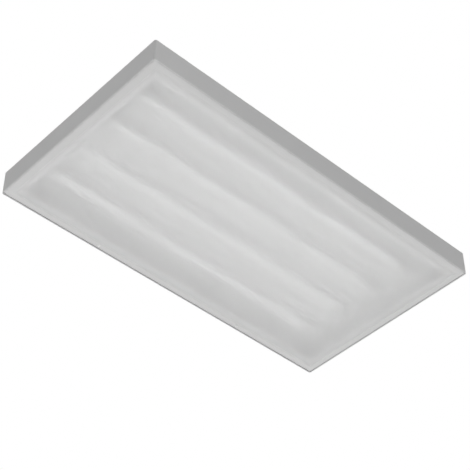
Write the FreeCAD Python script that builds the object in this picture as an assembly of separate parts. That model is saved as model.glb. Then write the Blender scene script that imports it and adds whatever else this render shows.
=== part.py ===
import FreeCAD, Part
import math
import os

# Suspended office luminaire with four tubular lamps behind a hinged opal cover, in millimetres.
# Origin: centre of the top face. X runs along the lamps, Y towards the cover screws, Z up.

# Housing, folded from one sheet with a hem along its lower edge
LENGTH = 1200.0
WIDTH = 650.0
HEIGHT = 80.0
SHEET = 1.0
CORNER_RADIUS = 6.0
TOP_BEND_RADIUS = 2.5
HEM_THICKNESS = 2.0
HEM_HEIGHT = 12.0

# Stiffening beads pressed into the top sheet
BEAD_SPACING = 320.0
BEAD_END_GAP = 90.0
BEAD_WIDTH = 12.0
BEAD_DEPTH = 3.0

# Fits shared by many pieces
PRESS_CLEARANCE = 0.02
RUNNING_CLEARANCE = 0.06
LOOSE_CLEARANCE = 0.3

# Suspension points: weld nuts under the top face
SUSPENSION_SPACING_X = 900.0
SUSPENSION_SPACING_Y = 450.0
SUSPENSION_CORE_RADIUS = 2.5
SUSPENSION_PILOT_RADIUS = 4.0
SUSPENSION_NUT_FLATS = 11.0
SUSPENSION_NUT_HEIGHT = 5.0

# Cable entry bushing in the top face
CABLE_ENTRY_X = -330.0
CABLE_HOLE_RADIUS = 9.0
CABLE_BORE_RADIUS = 5.5
BUSHING_FLANGE_RADIUS = 12.0
BUSHING_FLANGE_HEIGHT = 2.0

# Cover frame, set into the mouth of the housing
FRAME_GAP = 1.5
FRAME_RECESS = 2.0
FRAME_SHEET = 1.0
FRAME_UPSTAND = 12.0
FRAME_CORNER_RADIUS = 3.0
FRAME_BEND_RADIUS = 2.0
RIM_WIDTH = 20.5
OPENING_CORNER_RADIUS = 2.0
MITRE_DEPTH = 30.0

# Opal diffuser, its seal and its spring clips
DIFFUSER_THICKNESS = 3.0
DIFFUSER_OVERLAP = 5.0
DIFFUSER_EDGE_ROUND = 0.5
DIFFUSER_EDGE_GAP = 0.6
DIFFUSER_FLUSH_GAP = 0.3
SEAL_THICKNESS = 1.0
SEAL_WIDTH = 4.0
CLIP_SHEET = 0.6
CLIP_WIDTH = 16.0
CLIP_OVERLAP = 4.0
CLIP_FOOT_GAP = 1.3
CLIP_INSET_X = 130.0
CLIP_INSET_Y = 120.0
CLIP_SCREW_GAP = 35.75

# Cover hinge: one pin through each end wall
HINGE_INSET = 10.0
HINGE_HEIGHT = 7.0
HINGE_PIN_RADIUS = 2.0
HINGE_PIN_REACH = 3.0
HINGE_WASHER_RADIUS = 4.0
HINGE_RING_RADIUS = 3.2
HINGE_RING_THICKNESS = 0.8

# Captive cover screws and the brackets they turn into
SCREW_SPACING = 538.0
SCREW_INSET = 10.5
SCREW_SHANK_RADIUS = 2.0
SCREW_HEAD_RADIUS = 4.25
SCREW_HEAD_HEIGHT = 1.8
SCREW_SLOT_WIDTH = 1.1
SCREW_SLOT_DEPTH = 1.0
SCREW_END = 1.0
RETAINER_RADIUS = 3.5
RETAINER_THICKNESS = 1.0
BRACKET_SHEET = 2.0
BRACKET_WIDTH = 30.0
BRACKET_RISE = 24.0
BRACKET_EDGE = 6.0
BRACKET_CLEARANCE = 2.0
BRACKET_NUT_FLATS = 8.0
BRACKET_NUT_HEIGHT = 3.5

# Reflector tray that carries lamps and gear, and the skirts under it that lean out towards the cover
TRAY_DROP = 16.0
TRAY_SHEET = 0.8
TRAY_NEAR_GAP = 4.0
TRAY_FAR_GAP = 33.0
TRAY_SIDE_GAP = 24.0
SKIRT_DEPTH = 56.0
SKIRT_RELIEF = 10.0
SKIRT_CORNER_GAP = 0.8
SKIRT_HINGE_LEAN = 2.0
SKIRT_SCREW_LEAN = 5.0
SKIRT_FAR_LEAN = 25.0
STUD_SPACING = 700.0
STUD_RADIUS = 2.0
STUD_PROUD = 8.0
STUD_NUT_FLATS = 9.0
STUD_NUT_HEIGHT = 4.0

# Tubular lamps
LAMP_COUNT = 4
LAMP_PITCH = 128.0
LAMP_DROP = 40.0
LAMP_NEAR_GAP = 33.0
LAMP_FAR_GAP = 120.0
LAMP_CAP_RADIUS = 13.0
LAMP_CAP_WALL = 0.5
LAMP_CAP_LENGTH = 14.0
LAMP_CAP_END = 1.5
LAMP_CAP_ROUND = 1.2
LAMP_GLASS_WALL = 0.8
PIN_RADIUS = 1.18
PIN_LENGTH = 7.1
PIN_SPACING = 12.7

# Rotary lampholders
HOLDER_RADIUS = 15.0
HOLDER_THICKNESS = 14.0
HOLDER_GAP = 0.6
HOLDER_EDGE_ROUND = 1.0
HOLDER_PEG_RADIUS = 2.0
HOLDER_PEG_SPACING = 18.0
HOLDER_PEG_PROUD = 2.0
ROTOR_RADIUS = 10.0
ROTOR_FLOOR = 1.0
ROTOR_SLOT_CLEARANCE = 0.12
ENTRY_SLOT_CLEARANCE = 0.3

# Gear cover between the two middle lamps
GEAR_END_GAP = 12.0
GEAR_LENGTH = 176.0
GEAR_DEPTH = 24.0
GEAR_SHEET = 0.8
GEAR_BEND_RADIUS = 1.6
GEAR_SIDE_GAP = 3.0
GEAR_TAB_LENGTH = 12.0
GEAR_SCREW_SPACING = 60.0
GEAR_SCREW_RADIUS = 1.75
GEAR_SCREW_HEAD_RADIUS = 3.5
GEAR_SCREW_HEAD_HEIGHT = 2.2
GEAR_SCREW_RECESS_LENGTH = 3.8
GEAR_SCREW_RECESS_WIDTH = 0.9
GEAR_SCREW_RECESS_DEPTH = 1.2
GEAR_SCREW_PROUD = 3.0
GEAR_HOOK_WIDTH = 20.0
GEAR_HOOK_PROUD = 4.0

# Mains terminal with a release button at each pole
TERMINAL_INSET = 22.0
TERMINAL_LENGTH = 24.0
TERMINAL_DEPTH = 18.0
TERMINAL_PITCH = 10.0
TERMINAL_SIDE_WALL = 1.5
WIRE_DROP = 8.5
PORT_RADIUS = 1.5
CLAMP_LENGTH = 10.0
CLAMP_WALL = 0.4
BUTTON_SIDE = 5.0
BUTTON_CLEARANCE = 0.15
BUTTON_PROUD = 2.0
BUTTON_TRAVEL = 1.5
BUTTON_STOP_GAP = 0.3
BUTTON_WELL_ROOF = 1.0
BUTTON_EDGE_ROUND = 0.5

# Electronic driver
DRIVER_GAP = 14.0
DRIVER_LENGTH = 96.0
DRIVER_WIDTH = 64.0
DRIVER_DEPTH = 20.0
DRIVER_WALL = 1.2
DRIVER_BASE_DEPTH = 6.0
DRIVER_EDGE_ROUND = 1.5
BOARD_STANDOFF = 2.0
BOARD_THICKNESS = 1.6
BOARD_POST_RADIUS = 2.0
BOARD_MARGIN = 1.0
CONNECTOR_LENGTH = 10.0
CONNECTOR_HEIGHT = 8.0
CONNECTOR_INSET = 5.0
CONNECTOR_MARGIN = 4.0
COIL_LENGTH = 24.0
COIL_WIDTH = 26.0
COIL_HEIGHT = 9.0
CAPACITOR_RADIUS = 4.5
CAPACITOR_HEIGHT = 9.5
CAPACITOR_SPACING = 18.0

# Wires and earth connection
MAINS_WIRE_RADIUS = 1.05
LEAD_RADIUS = 0.9
LEAD_PITCH = 5.0
LEAD_BEND_RADIUS = 4.0
LEAD_SLOT_MARGIN = 2.0
LEAD_RISE_OFFSET = 8.0
LEAD_TURN_OFFSET = 12.0
LEAD_TURN_STEP = 8.0
LEAD_HOLDER_DEPTH = 4.0
EARTH_STUD_RADIUS = 2.0
EARTH_SHOULDER_RADIUS = 3.2
EARTH_STUD_Y = 24.0
EARTH_STUD_END = 5.5
EARTH_NUT_FLATS = 7.0
EARTH_NUT_HEIGHT = 3.2
LUG_RADIUS = 3.6
LUG_THICKNESS = 1.0
LUG_BARREL_RADIUS = 1.7
LUG_BARREL_LENGTH = 5.0

# Levels and places worked out from the sizes above
BOTTOM = -HEIGHT
CEILING = -SHEET
FRAME_BOTTOM = BOTTOM + FRAME_RECESS
FRAME_TOP = FRAME_BOTTOM + FRAME_UPSTAND
RIM_TOP = FRAME_BOTTOM + FRAME_SHEET
DIFFUSER_BOTTOM = RIM_TOP + SEAL_THICKNESS
DIFFUSER_TOP = DIFFUSER_BOTTOM + DIFFUSER_THICKNESS
PANEL_BOTTOM = FRAME_BOTTOM + DIFFUSER_FLUSH_GAP
PANEL_TOP = PANEL_BOTTOM + DIFFUSER_THICKNESS
TRAY_BOTTOM = -TRAY_DROP
TRAY_TOP = TRAY_BOTTOM + TRAY_SHEET
LAMP_Z = -LAMP_DROP
WIRE_Z = TRAY_BOTTOM - WIRE_DROP

FRAME_LENGTH = LENGTH - 2 * (HEM_THICKNESS + FRAME_GAP)
FRAME_WIDTH = WIDTH - 2 * (HEM_THICKNESS + FRAME_GAP)
OPENING_LENGTH = FRAME_LENGTH - 2 * RIM_WIDTH
OPENING_WIDTH = FRAME_WIDTH - 2 * RIM_WIDTH
DIFFUSER_LENGTH = OPENING_LENGTH + 2 * DIFFUSER_OVERLAP
DIFFUSER_WIDTH = OPENING_WIDTH + 2 * DIFFUSER_OVERLAP
PANEL_LENGTH = OPENING_LENGTH - 2 * DIFFUSER_EDGE_GAP
PANEL_WIDTH = OPENING_WIDTH - 2 * DIFFUSER_EDGE_GAP

HINGE_Y = HINGE_INSET - FRAME_WIDTH / 2
HINGE_Z = BOTTOM + HINGE_HEIGHT
SCREW_Y = FRAME_WIDTH / 2 - SCREW_INSET
BRACKET_BOTTOM = FRAME_TOP + BRACKET_CLEARANCE
BRACKET_TOP = BRACKET_BOTTOM + BRACKET_SHEET
SCREW_TOP = BRACKET_TOP + BRACKET_NUT_HEIGHT + SCREW_END

TRAY_X0 = TRAY_NEAR_GAP + SHEET - LENGTH / 2
TRAY_X1 = LENGTH / 2 - SHEET - TRAY_FAR_GAP
TRAY_Y = WIDTH / 2 - SHEET - TRAY_SIDE_GAP
SKIRT_BOTTOM = TRAY_BOTTOM - SKIRT_DEPTH

LAMP_X0 = LAMP_NEAR_GAP - LENGTH / 2
LAMP_X1 = LENGTH / 2 - LAMP_FAR_GAP
LAMP_YS = [(k - (LAMP_COUNT - 1) / 2) * LAMP_PITCH for k in range(LAMP_COUNT)]
GLASS_RADIUS = LAMP_CAP_RADIUS - LAMP_CAP_WALL
PIN_SLOT_DEPTH = PIN_LENGTH - HOLDER_GAP + LOOSE_CLEARANCE
ROTOR_DEPTH = PIN_SLOT_DEPTH + ROTOR_FLOOR

GEAR_X0 = GEAR_END_GAP - LENGTH / 2
GEAR_X1 = GEAR_X0 + GEAR_LENGTH
GEAR_WIDTH = LAMP_PITCH - 2 * HOLDER_RADIUS - 2 * GEAR_SIDE_GAP
TERMINAL_X0 = GEAR_X0 + TERMINAL_INSET
TERMINAL_X1 = TERMINAL_X0 + TERMINAL_LENGTH
TERMINAL_FACE = TRAY_BOTTOM - TERMINAL_DEPTH
TERMINAL_YS = {"line": -TERMINAL_PITCH, "neutral": 0.0, "earth": TERMINAL_PITCH}
BUTTON_X = TERMINAL_X0 + TERMINAL_LENGTH / 2
BUTTON_WELL_TOP = WIRE_Z - PORT_RADIUS - BUTTON_WELL_ROOF
CLAMP_X0 = BUTTON_X - CLAMP_LENGTH / 2
CLAMP_X1 = BUTTON_X + CLAMP_LENGTH / 2

DRIVER_X0 = TERMINAL_X1 + DRIVER_GAP
DRIVER_X1 = DRIVER_X0 + DRIVER_LENGTH
DRIVER_SPLIT = TRAY_BOTTOM - DRIVER_BASE_DEPTH
BOARD_TOP = TRAY_BOTTOM - DRIVER_WALL - BOARD_STANDOFF
BOARD_BOTTOM = BOARD_TOP - BOARD_THICKNESS
INPUT_X = DRIVER_X0 + DRIVER_WALL + CONNECTOR_INSET
OUTPUT_X = DRIVER_X1 - DRIVER_WALL - CONNECTOR_INSET
EARTH_STUD_X = TERMINAL_X1 + DRIVER_GAP / 2

LEAD_RISE_X = DRIVER_X1 + LEAD_RISE_OFFSET
LEAD_RUN_Z = (TRAY_TOP + CEILING) / 2
LEAD_COUNT = 2 * LAMP_COUNT
LEAD_SPAN = (LEAD_COUNT - 1) * LEAD_PITCH
NEAR_HOLDER_X = LAMP_X0 - HOLDER_GAP
FAR_HOLDER_X = LAMP_X1 + HOLDER_GAP


# Simple solids

def point(x, y, z):
    return FreeCAD.Vector(x, y, z)


def block(x0, x1, y0, y1, z0, z1):
    return Part.makeBox(x1 - x0, y1 - y0, z1 - z0, point(x0, y0, z0))


def rod(radius, start, end):
    return Part.makeCylinder(radius, (end - start).Length, start, end - start)


def ring(outer, inner, start, end):
    return rod(outer, start, end).cut(rod(inner, start, end))


def upright(radius, x, y, z0, z1):
    return rod(radius, point(x, y, z0), point(x, y, z1))


def lengthwise(radius, y, z, x0, x1):
    return rod(radius, point(x0, y, z), point(x1, y, z))


def hexagon(flats, x, y, z0, z1):
    radius = flats / math.sqrt(3)
    turns = [k * math.pi / 3 for k in range(7)]
    corners = [point(x + radius * math.cos(t), y + radius * math.sin(t), z0) for t in turns]
    return Part.Face(Part.makePolygon(corners)).extrude(point(0, 0, z1 - z0))


def hex_nut(flats, bore, x, y, z0, z1):
    return hexagon(flats, x, y, z0, z1).cut(upright(bore, x, y, z0, z1))


def edges_at(shape, level):
    boxes = [(edge, edge.BoundBox) for edge in shape.Edges]
    return [edge for edge, b in boxes if abs(b.ZMin - level) < 1e-6 and abs(b.ZMax - level) < 1e-6]


def upright_edges(shape):
    boxes = [(edge, edge.BoundBox) for edge in shape.Edges]
    return [edge for edge, b in boxes if b.XLength < 1e-6 and b.YLength < 1e-6]


def rounded_slab(length, width, radius, z0, z1):
    slab = block(-length / 2, length / 2, -width / 2, width / 2, z0, z1)
    return slab.makeFillet(radius, upright_edges(slab))


def round_level(shape, level, radius):
    return shape.makeFillet(radius, edges_at(shape, level))


def pairs(half_x, half_y):
    return [(sx * half_x, sy * half_y) for sx in (-1, 1) for sy in (-1, 1)]


def group(solids):
    return Part.makeCompound(list(solids))


def cut_all(shape, tools):
    for tool in tools:
        shape = shape.cut(tool)
    return shape


# A round wire along straight runs joined by tangent arcs

def wire(points, radius, bend):
    edges = []
    start = points[0]
    for before, corner, after in zip(points, points[1:], points[2:]):
        inward = (corner - before).normalize()
        outward = (after - corner).normalize()
        half_turn = inward.getAngle(outward) / 2
        reach = bend * math.tan(half_turn)
        first = corner - inward * reach
        last = corner + outward * reach
        middle = corner + (outward - inward).normalize() * (bend / math.cos(half_turn) - bend)
        edges.append(Part.LineSegment(start, first).toShape())
        edges.append(Part.Arc(first, middle, last).toShape())
        start = last
    edges.append(Part.LineSegment(start, points[-1]).toShape())
    path = Part.Wire(edges)
    section = Part.Wire(Part.makeCircle(radius, points[0], points[1] - points[0]))
    return path.makePipeShell([section], True, True)


# Housing and what is fixed to its sheet

def suspension_places():
    return pairs(SUSPENSION_SPACING_X / 2, SUSPENSION_SPACING_Y / 2)


# Both faces of the sheet along a bead are round about one line above the top
def bead_bar(y, offset):
    groove_radius = (BEAD_WIDTH ** 2 / 4 + BEAD_DEPTH ** 2) / (2 * BEAD_DEPTH)
    radius = groove_radius + offset
    z = groove_radius - BEAD_DEPTH
    reach = LENGTH / 2 - BEAD_END_GAP - groove_radius
    bar = lengthwise(radius, y, z, -reach, reach)
    for x in (-reach, reach):
        bar = bar.fuse(Part.makeSphere(radius, point(x, y, z)))
    return bar


def add_beads(shell):
    under = block(-LENGTH / 2, LENGTH / 2, -WIDTH / 2, WIDTH / 2, BOTTOM, -SHEET / 2)
    for y in (-BEAD_SPACING / 2, BEAD_SPACING / 2):
        shell = shell.fuse(bead_bar(y, SHEET).common(under)).cut(bead_bar(y, 0))
    return shell.removeSplitter()


def make_housing():
    outer = rounded_slab(LENGTH, WIDTH, CORNER_RADIUS, BOTTOM, 0)
    outer = round_level(outer, 0, TOP_BEND_RADIUS)
    room = rounded_slab(LENGTH - 2 * SHEET, WIDTH - 2 * SHEET, CORNER_RADIUS - SHEET,
                        BOTTOM + HEM_HEIGHT, CEILING)
    room = round_level(room, CEILING, TOP_BEND_RADIUS - SHEET)
    mouth = rounded_slab(LENGTH - 2 * HEM_THICKNESS, WIDTH - 2 * HEM_THICKNESS,
                         CORNER_RADIUS - HEM_THICKNESS, BOTTOM, BOTTOM + HEM_HEIGHT)
    shell = round_level(outer.cut(room).cut(mouth), BOTTOM, 0.45 * HEM_THICKNESS)
    shell = add_beads(shell)
    pilot = SUSPENSION_PILOT_RADIUS + PRESS_CLEARANCE
    holes = [upright(pilot, x, y, CEILING, 0) for x, y in suspension_places()]
    holes.append(upright(CABLE_HOLE_RADIUS, CABLE_ENTRY_X, 0, CEILING, 0))
    pin = HINGE_PIN_RADIUS + PRESS_CLEARANCE
    holes.append(lengthwise(pin, HINGE_Y, HINGE_Z, -LENGTH / 2, HEM_THICKNESS - LENGTH / 2))
    holes.append(lengthwise(pin, HINGE_Y, HINGE_Z, LENGTH / 2 - HEM_THICKNESS, LENGTH / 2))
    return cut_all(shell, holes)


def make_suspension_nuts():
    nuts = []
    for x, y in suspension_places():
        body = hexagon(SUSPENSION_NUT_FLATS, x, y, CEILING - SUSPENSION_NUT_HEIGHT, CEILING)
        pilot = upright(SUSPENSION_PILOT_RADIUS, x, y, CEILING, 0)
        bore = upright(SUSPENSION_CORE_RADIUS, x, y, CEILING - SUSPENSION_NUT_HEIGHT, 0)
        nuts.append(body.fuse(pilot).cut(bore).removeSplitter())
    return group(nuts)


def make_cable_bushing():
    flange_bottom = CEILING - BUSHING_FLANGE_HEIGHT
    neck = upright(CABLE_HOLE_RADIUS - PRESS_CLEARANCE, CABLE_ENTRY_X, 0, flange_bottom, 0)
    flange = upright(BUSHING_FLANGE_RADIUS, CABLE_ENTRY_X, 0, flange_bottom, CEILING)
    bore = upright(CABLE_BORE_RADIUS, CABLE_ENTRY_X, 0, flange_bottom, 0)
    return neck.fuse(flange).cut(bore)


# Cover: frame, seal, diffuser and clips

# Wedges that part the frame into four lengths, mitred at the corners
def mitre_wedges():
    x = FRAME_LENGTH / 2
    y = FRAME_WIDTH / 2
    long_side = [(-x, y), (x, y), (x - MITRE_DEPTH, y - MITRE_DEPTH), (MITRE_DEPTH - x, y - MITRE_DEPTH)]
    short_side = [(x, y), (x, -y), (x - MITRE_DEPTH, MITRE_DEPTH - y), (x - MITRE_DEPTH, y - MITRE_DEPTH)]
    wedges = []
    for side in (-1, 1):
        for corners in (long_side, short_side):
            outline = [point(side * a, side * b, FRAME_BOTTOM) for a, b in corners + corners[:1]]
            wedges.append(Part.Face(Part.makePolygon(outline)).extrude(point(0, 0, FRAME_UPSTAND)))
    return wedges


def make_cover_frame():
    outer = rounded_slab(FRAME_LENGTH, FRAME_WIDTH, FRAME_CORNER_RADIUS, FRAME_BOTTOM, FRAME_TOP)
    bend = min(FRAME_BEND_RADIUS, 0.9 * FRAME_CORNER_RADIUS)
    outer = round_level(outer, FRAME_BOTTOM, bend)
    room = rounded_slab(FRAME_LENGTH - 2 * FRAME_SHEET, FRAME_WIDTH - 2 * FRAME_SHEET,
                        FRAME_CORNER_RADIUS - FRAME_SHEET, RIM_TOP, FRAME_TOP)
    room = round_level(room, RIM_TOP, bend - FRAME_SHEET)
    opening = rounded_slab(OPENING_LENGTH, OPENING_WIDTH, OPENING_CORNER_RADIUS, FRAME_BOTTOM, RIM_TOP)
    frame = outer.cut(room).cut(opening)
    screw = SCREW_SHANK_RADIUS + LOOSE_CLEARANCE
    holes = [upright(screw, x, SCREW_Y, FRAME_BOTTOM, RIM_TOP) for x in screw_xs()]
    pin = HINGE_PIN_RADIUS + RUNNING_CLEARANCE
    inside = FRAME_LENGTH / 2 - FRAME_SHEET
    for side in (-1, 1):
        holes.append(lengthwise(pin, HINGE_Y, HINGE_Z, side * inside, side * FRAME_LENGTH / 2))
    frame = cut_all(frame, holes)
    return group(solid for wedge in mitre_wedges() for solid in frame.common(wedge).Solids)


def make_diffuser_seal():
    outer = rounded_slab(OPENING_LENGTH + 2 * SEAL_WIDTH, OPENING_WIDTH + 2 * SEAL_WIDTH,
                         OPENING_CORNER_RADIUS + SEAL_WIDTH, RIM_TOP, DIFFUSER_BOTTOM)
    inner = rounded_slab(OPENING_LENGTH, OPENING_WIDTH, OPENING_CORNER_RADIUS, RIM_TOP, DIFFUSER_BOTTOM)
    return outer.cut(inner)


# Dished sheet: its flange lies on the seal and its panel hangs in the opening, nearly flush with the rim
def make_diffuser():
    plate = rounded_slab(DIFFUSER_LENGTH, DIFFUSER_WIDTH, OPENING_CORNER_RADIUS + DIFFUSER_OVERLAP,
                         DIFFUSER_BOTTOM, DIFFUSER_TOP)
    plate = round_level(plate, DIFFUSER_BOTTOM, DIFFUSER_EDGE_ROUND)
    plate = round_level(plate, DIFFUSER_TOP, DIFFUSER_EDGE_ROUND)
    panel = rounded_slab(PANEL_LENGTH, PANEL_WIDTH, OPENING_CORNER_RADIUS, PANEL_BOTTOM, DIFFUSER_TOP)
    panel = round_level(panel, PANEL_BOTTOM, DIFFUSER_EDGE_ROUND)
    hollow = rounded_slab(PANEL_LENGTH - 2 * DIFFUSER_THICKNESS, PANEL_WIDTH - 2 * DIFFUSER_THICKNESS,
                          OPENING_CORNER_RADIUS, PANEL_TOP, DIFFUSER_TOP)
    return plate.fuse(panel).cut(hollow).removeSplitter()


# One clip on the +Y side of the frame at x = 0, facing the diffuser
def clip_profile(half_frame, half_diffuser):
    wall = half_frame - FRAME_SHEET
    foot = RIM_TOP + CLIP_FOOT_GAP
    leaf_top = DIFFUSER_TOP + CLIP_SHEET
    leg = block(-CLIP_WIDTH / 2, CLIP_WIDTH / 2, wall - CLIP_SHEET, wall, foot, leaf_top)
    leaf = block(-CLIP_WIDTH / 2, CLIP_WIDTH / 2, half_diffuser - CLIP_OVERLAP, wall, DIFFUSER_TOP, leaf_top)
    return leg.fuse(leaf).removeSplitter()


def long_clip_places():
    end = FRAME_LENGTH / 2 - CLIP_INSET_X
    beside_screw = SCREW_SPACING / 2 - CLIP_SCREW_GAP
    return [-end, -beside_screw, 0, beside_screw, end]


def short_clip_places():
    end = FRAME_WIDTH / 2 - CLIP_INSET_Y
    return [-end, 0, end]


def make_diffuser_clips():
    clips = []
    long_clip = clip_profile(FRAME_WIDTH / 2, DIFFUSER_WIDTH / 2)
    short_clip = clip_profile(FRAME_LENGTH / 2, DIFFUSER_LENGTH / 2)
    for turn in (0, 180):
        for x in long_clip_places():
            clip = long_clip.copy()
            clip.rotate(point(0, 0, 0), point(0, 0, 1), turn)
            clip.translate(point(x, 0, 0))
            clips.append(clip)
        for y in short_clip_places():
            clip = short_clip.copy()
            clip.rotate(point(0, 0, 0), point(0, 0, 1), turn + 90)
            clip.translate(point(0, y, 0))
            clips.append(clip)
    return group(clips)


# Hinge at the two ends of the cover

def make_hinge_pins():
    reach = FRAME_LENGTH / 2 - FRAME_SHEET - HINGE_PIN_REACH
    return group(lengthwise(HINGE_PIN_RADIUS, HINGE_Y, HINGE_Z, side * LENGTH / 2, side * reach)
                 for side in (-1, 1))


def make_hinge_washers():
    bore = HINGE_PIN_RADIUS + PRESS_CLEARANCE
    outside = LENGTH / 2 - HEM_THICKNESS
    inside = FRAME_LENGTH / 2 + LOOSE_CLEARANCE
    return group(ring(HINGE_WASHER_RADIUS, bore, point(side * inside, HINGE_Y, HINGE_Z),
                      point(side * outside, HINGE_Y, HINGE_Z)) for side in (-1, 1))


def make_hinge_rings():
    bore = HINGE_PIN_RADIUS + PRESS_CLEARANCE
    outside = FRAME_LENGTH / 2 - FRAME_SHEET - LOOSE_CLEARANCE
    inside = outside - HINGE_RING_THICKNESS
    return group(ring(HINGE_RING_RADIUS, bore, point(side * inside, HINGE_Y, HINGE_Z),
                      point(side * outside, HINGE_Y, HINGE_Z)) for side in (-1, 1))


# Cover screws, their retainers and brackets

def screw_xs():
    return [-SCREW_SPACING / 2, SCREW_SPACING / 2]


def make_cover_screw(x):
    head_bottom = FRAME_BOTTOM - SCREW_HEAD_HEIGHT
    head = upright(SCREW_HEAD_RADIUS, x, SCREW_Y, head_bottom, FRAME_BOTTOM)
    head = round_level(head, head_bottom, 0.4 * SCREW_HEAD_HEIGHT)
    shank = upright(SCREW_SHANK_RADIUS, x, SCREW_Y, FRAME_BOTTOM, SCREW_TOP)
    slot = block(x - SCREW_HEAD_RADIUS, x + SCREW_HEAD_RADIUS, SCREW_Y - SCREW_SLOT_WIDTH / 2,
                 SCREW_Y + SCREW_SLOT_WIDTH / 2, head_bottom, head_bottom + SCREW_SLOT_DEPTH)
    return head.fuse(shank).cut(slot).removeSplitter()


def make_screw_retainers():
    bore = SCREW_SHANK_RADIUS + RUNNING_CLEARANCE
    return group(ring(RETAINER_RADIUS, bore, point(x, SCREW_Y, RIM_TOP),
                      point(x, SCREW_Y, RIM_TOP + RETAINER_THICKNESS)) for x in screw_xs())


def make_screw_brackets():
    wall = WIDTH / 2 - SHEET
    brackets = []
    for x in screw_xs():
        x0 = x - BRACKET_WIDTH / 2
        x1 = x + BRACKET_WIDTH / 2
        shelf = block(x0, x1, SCREW_Y - BRACKET_EDGE, wall, BRACKET_BOTTOM, BRACKET_TOP)
        leg = block(x0, x1, wall - BRACKET_SHEET, wall, BRACKET_BOTTOM, BRACKET_BOTTOM + BRACKET_RISE)
        hole = upright(SCREW_SHANK_RADIUS + LOOSE_CLEARANCE, x, SCREW_Y, BRACKET_BOTTOM, BRACKET_TOP)
        brackets.append(shelf.fuse(leg).removeSplitter().cut(hole))
    return group(brackets)


def make_bracket_nuts():
    bore = SCREW_SHANK_RADIUS + LOOSE_CLEARANCE
    return group(hex_nut(BRACKET_NUT_FLATS, bore, x, SCREW_Y, BRACKET_TOP,
                         BRACKET_TOP + BRACKET_NUT_HEIGHT) for x in screw_xs())


# Reflector tray, its skirts and the studs it hangs on

def stud_places():
    return pairs(STUD_SPACING / 2, LAMP_PITCH)


# Solid pan under the flat tray, down to the leaning lower edge of the skirts
def skirt_pan(near_inset, far_inset, side_inset):
    def outline(hinge_lean, screw_lean, far_lean, z):
        x0 = TRAY_X0 + near_inset
        x1 = TRAY_X1 + far_lean - far_inset
        y0 = side_inset - TRAY_Y - hinge_lean
        y1 = TRAY_Y + screw_lean - side_inset
        corners = [(x0, y0), (x1, y0), (x1, y1), (x0, y1), (x0, y0)]
        return Part.makePolygon([point(x, y, z) for x, y in corners])

    lower = outline(SKIRT_HINGE_LEAN, SKIRT_SCREW_LEAN, SKIRT_FAR_LEAN, SKIRT_BOTTOM)
    return Part.makeLoft([outline(0, 0, 0, TRAY_BOTTOM), lower], True, True)


# Four flat strips; the near one and the one at the hinge stop short, to clear the turning cover
def make_tray_skirts():
    past_near = skirt_pan(TRAY_SHEET, 0, 0)
    between_sides = skirt_pan(TRAY_SHEET, 0, TRAY_SHEET)
    near = skirt_pan(0, 0, 0).cut(past_near)
    sides = past_near.cut(between_sides)
    far = between_sides.cut(skirt_pan(TRAY_SHEET, TRAY_SHEET, TRAY_SHEET))
    relief = SKIRT_BOTTOM + SKIRT_RELIEF
    near_room = block(-LENGTH / 2, TRAY_X0 + TRAY_SHEET, -WIDTH / 2, WIDTH / 2, SKIRT_BOTTOM, relief)
    hinge_room = block(-LENGTH / 2, LENGTH / 2, -WIDTH / 2, 0, SKIRT_BOTTOM, relief)
    corner = SKIRT_CORNER_GAP + TRAY_SHEET - TRAY_Y
    corner_room = block(-LENGTH / 2, LENGTH / 2, -WIDTH / 2, corner, SKIRT_BOTTOM, TRAY_BOTTOM)
    strips = [near.cut(near_room), sides.cut(hinge_room), far.cut(corner_room)]
    return group(solid for strip in strips for solid in strip.Solids)


def make_reflector_tray():
    tray = block(TRAY_X0, TRAY_X1, -TRAY_Y, TRAY_Y, TRAY_BOTTOM, TRAY_TOP)

    def hole(radius, x, y):
        return upright(radius + PRESS_CLEARANCE, x, y, TRAY_BOTTOM, TRAY_TOP)

    holes = [hole(STUD_RADIUS, x, y) for x, y in stud_places()]
    for x in (NEAR_HOLDER_X - HOLDER_THICKNESS / 2, FAR_HOLDER_X + HOLDER_THICKNESS / 2):
        for y in LAMP_YS:
            holes.append(hole(LEAD_RADIUS + LOOSE_CLEARANCE, x, y))
            holes.append(hole(HOLDER_PEG_RADIUS, x, y - HOLDER_PEG_SPACING / 2))
            holes.append(hole(HOLDER_PEG_RADIUS, x, y + HOLDER_PEG_SPACING / 2))
    holes += [hole(GEAR_SCREW_RADIUS, x, y) for x, y in gear_screw_places()]
    cable_x = (GEAR_X0 + TERMINAL_X0) / 2
    holes.append(hole(CABLE_BORE_RADIUS, cable_x, 0))
    window = LEAD_SPAN / 2 + LEAD_SLOT_MARGIN
    holes.append(block(LEAD_RISE_X - LEAD_BEND_RADIUS, LEAD_RISE_X + LEAD_SLOT_MARGIN, -window, window,
                       TRAY_BOTTOM, TRAY_TOP))
    hook = GEAR_HOOK_WIDTH / 2 + LOOSE_CLEARANCE
    holes.append(block(GEAR_X0 - LOOSE_CLEARANCE, GEAR_X0 + GEAR_SHEET + LOOSE_CLEARANCE, -hook, hook,
                       TRAY_BOTTOM, TRAY_TOP))
    return cut_all(tray, holes)


def make_tray_studs():
    return group(upright(STUD_RADIUS, x, y, TRAY_BOTTOM - STUD_PROUD, CEILING) for x, y in stud_places())


def make_tray_nuts():
    bore = STUD_RADIUS + PRESS_CLEARANCE
    return group(hex_nut(STUD_NUT_FLATS, bore, x, y, TRAY_BOTTOM - STUD_NUT_HEIGHT, TRAY_BOTTOM)
                 for x, y in stud_places())


# Lampholders: face is the side towards the lamp, outward points away from it

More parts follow.
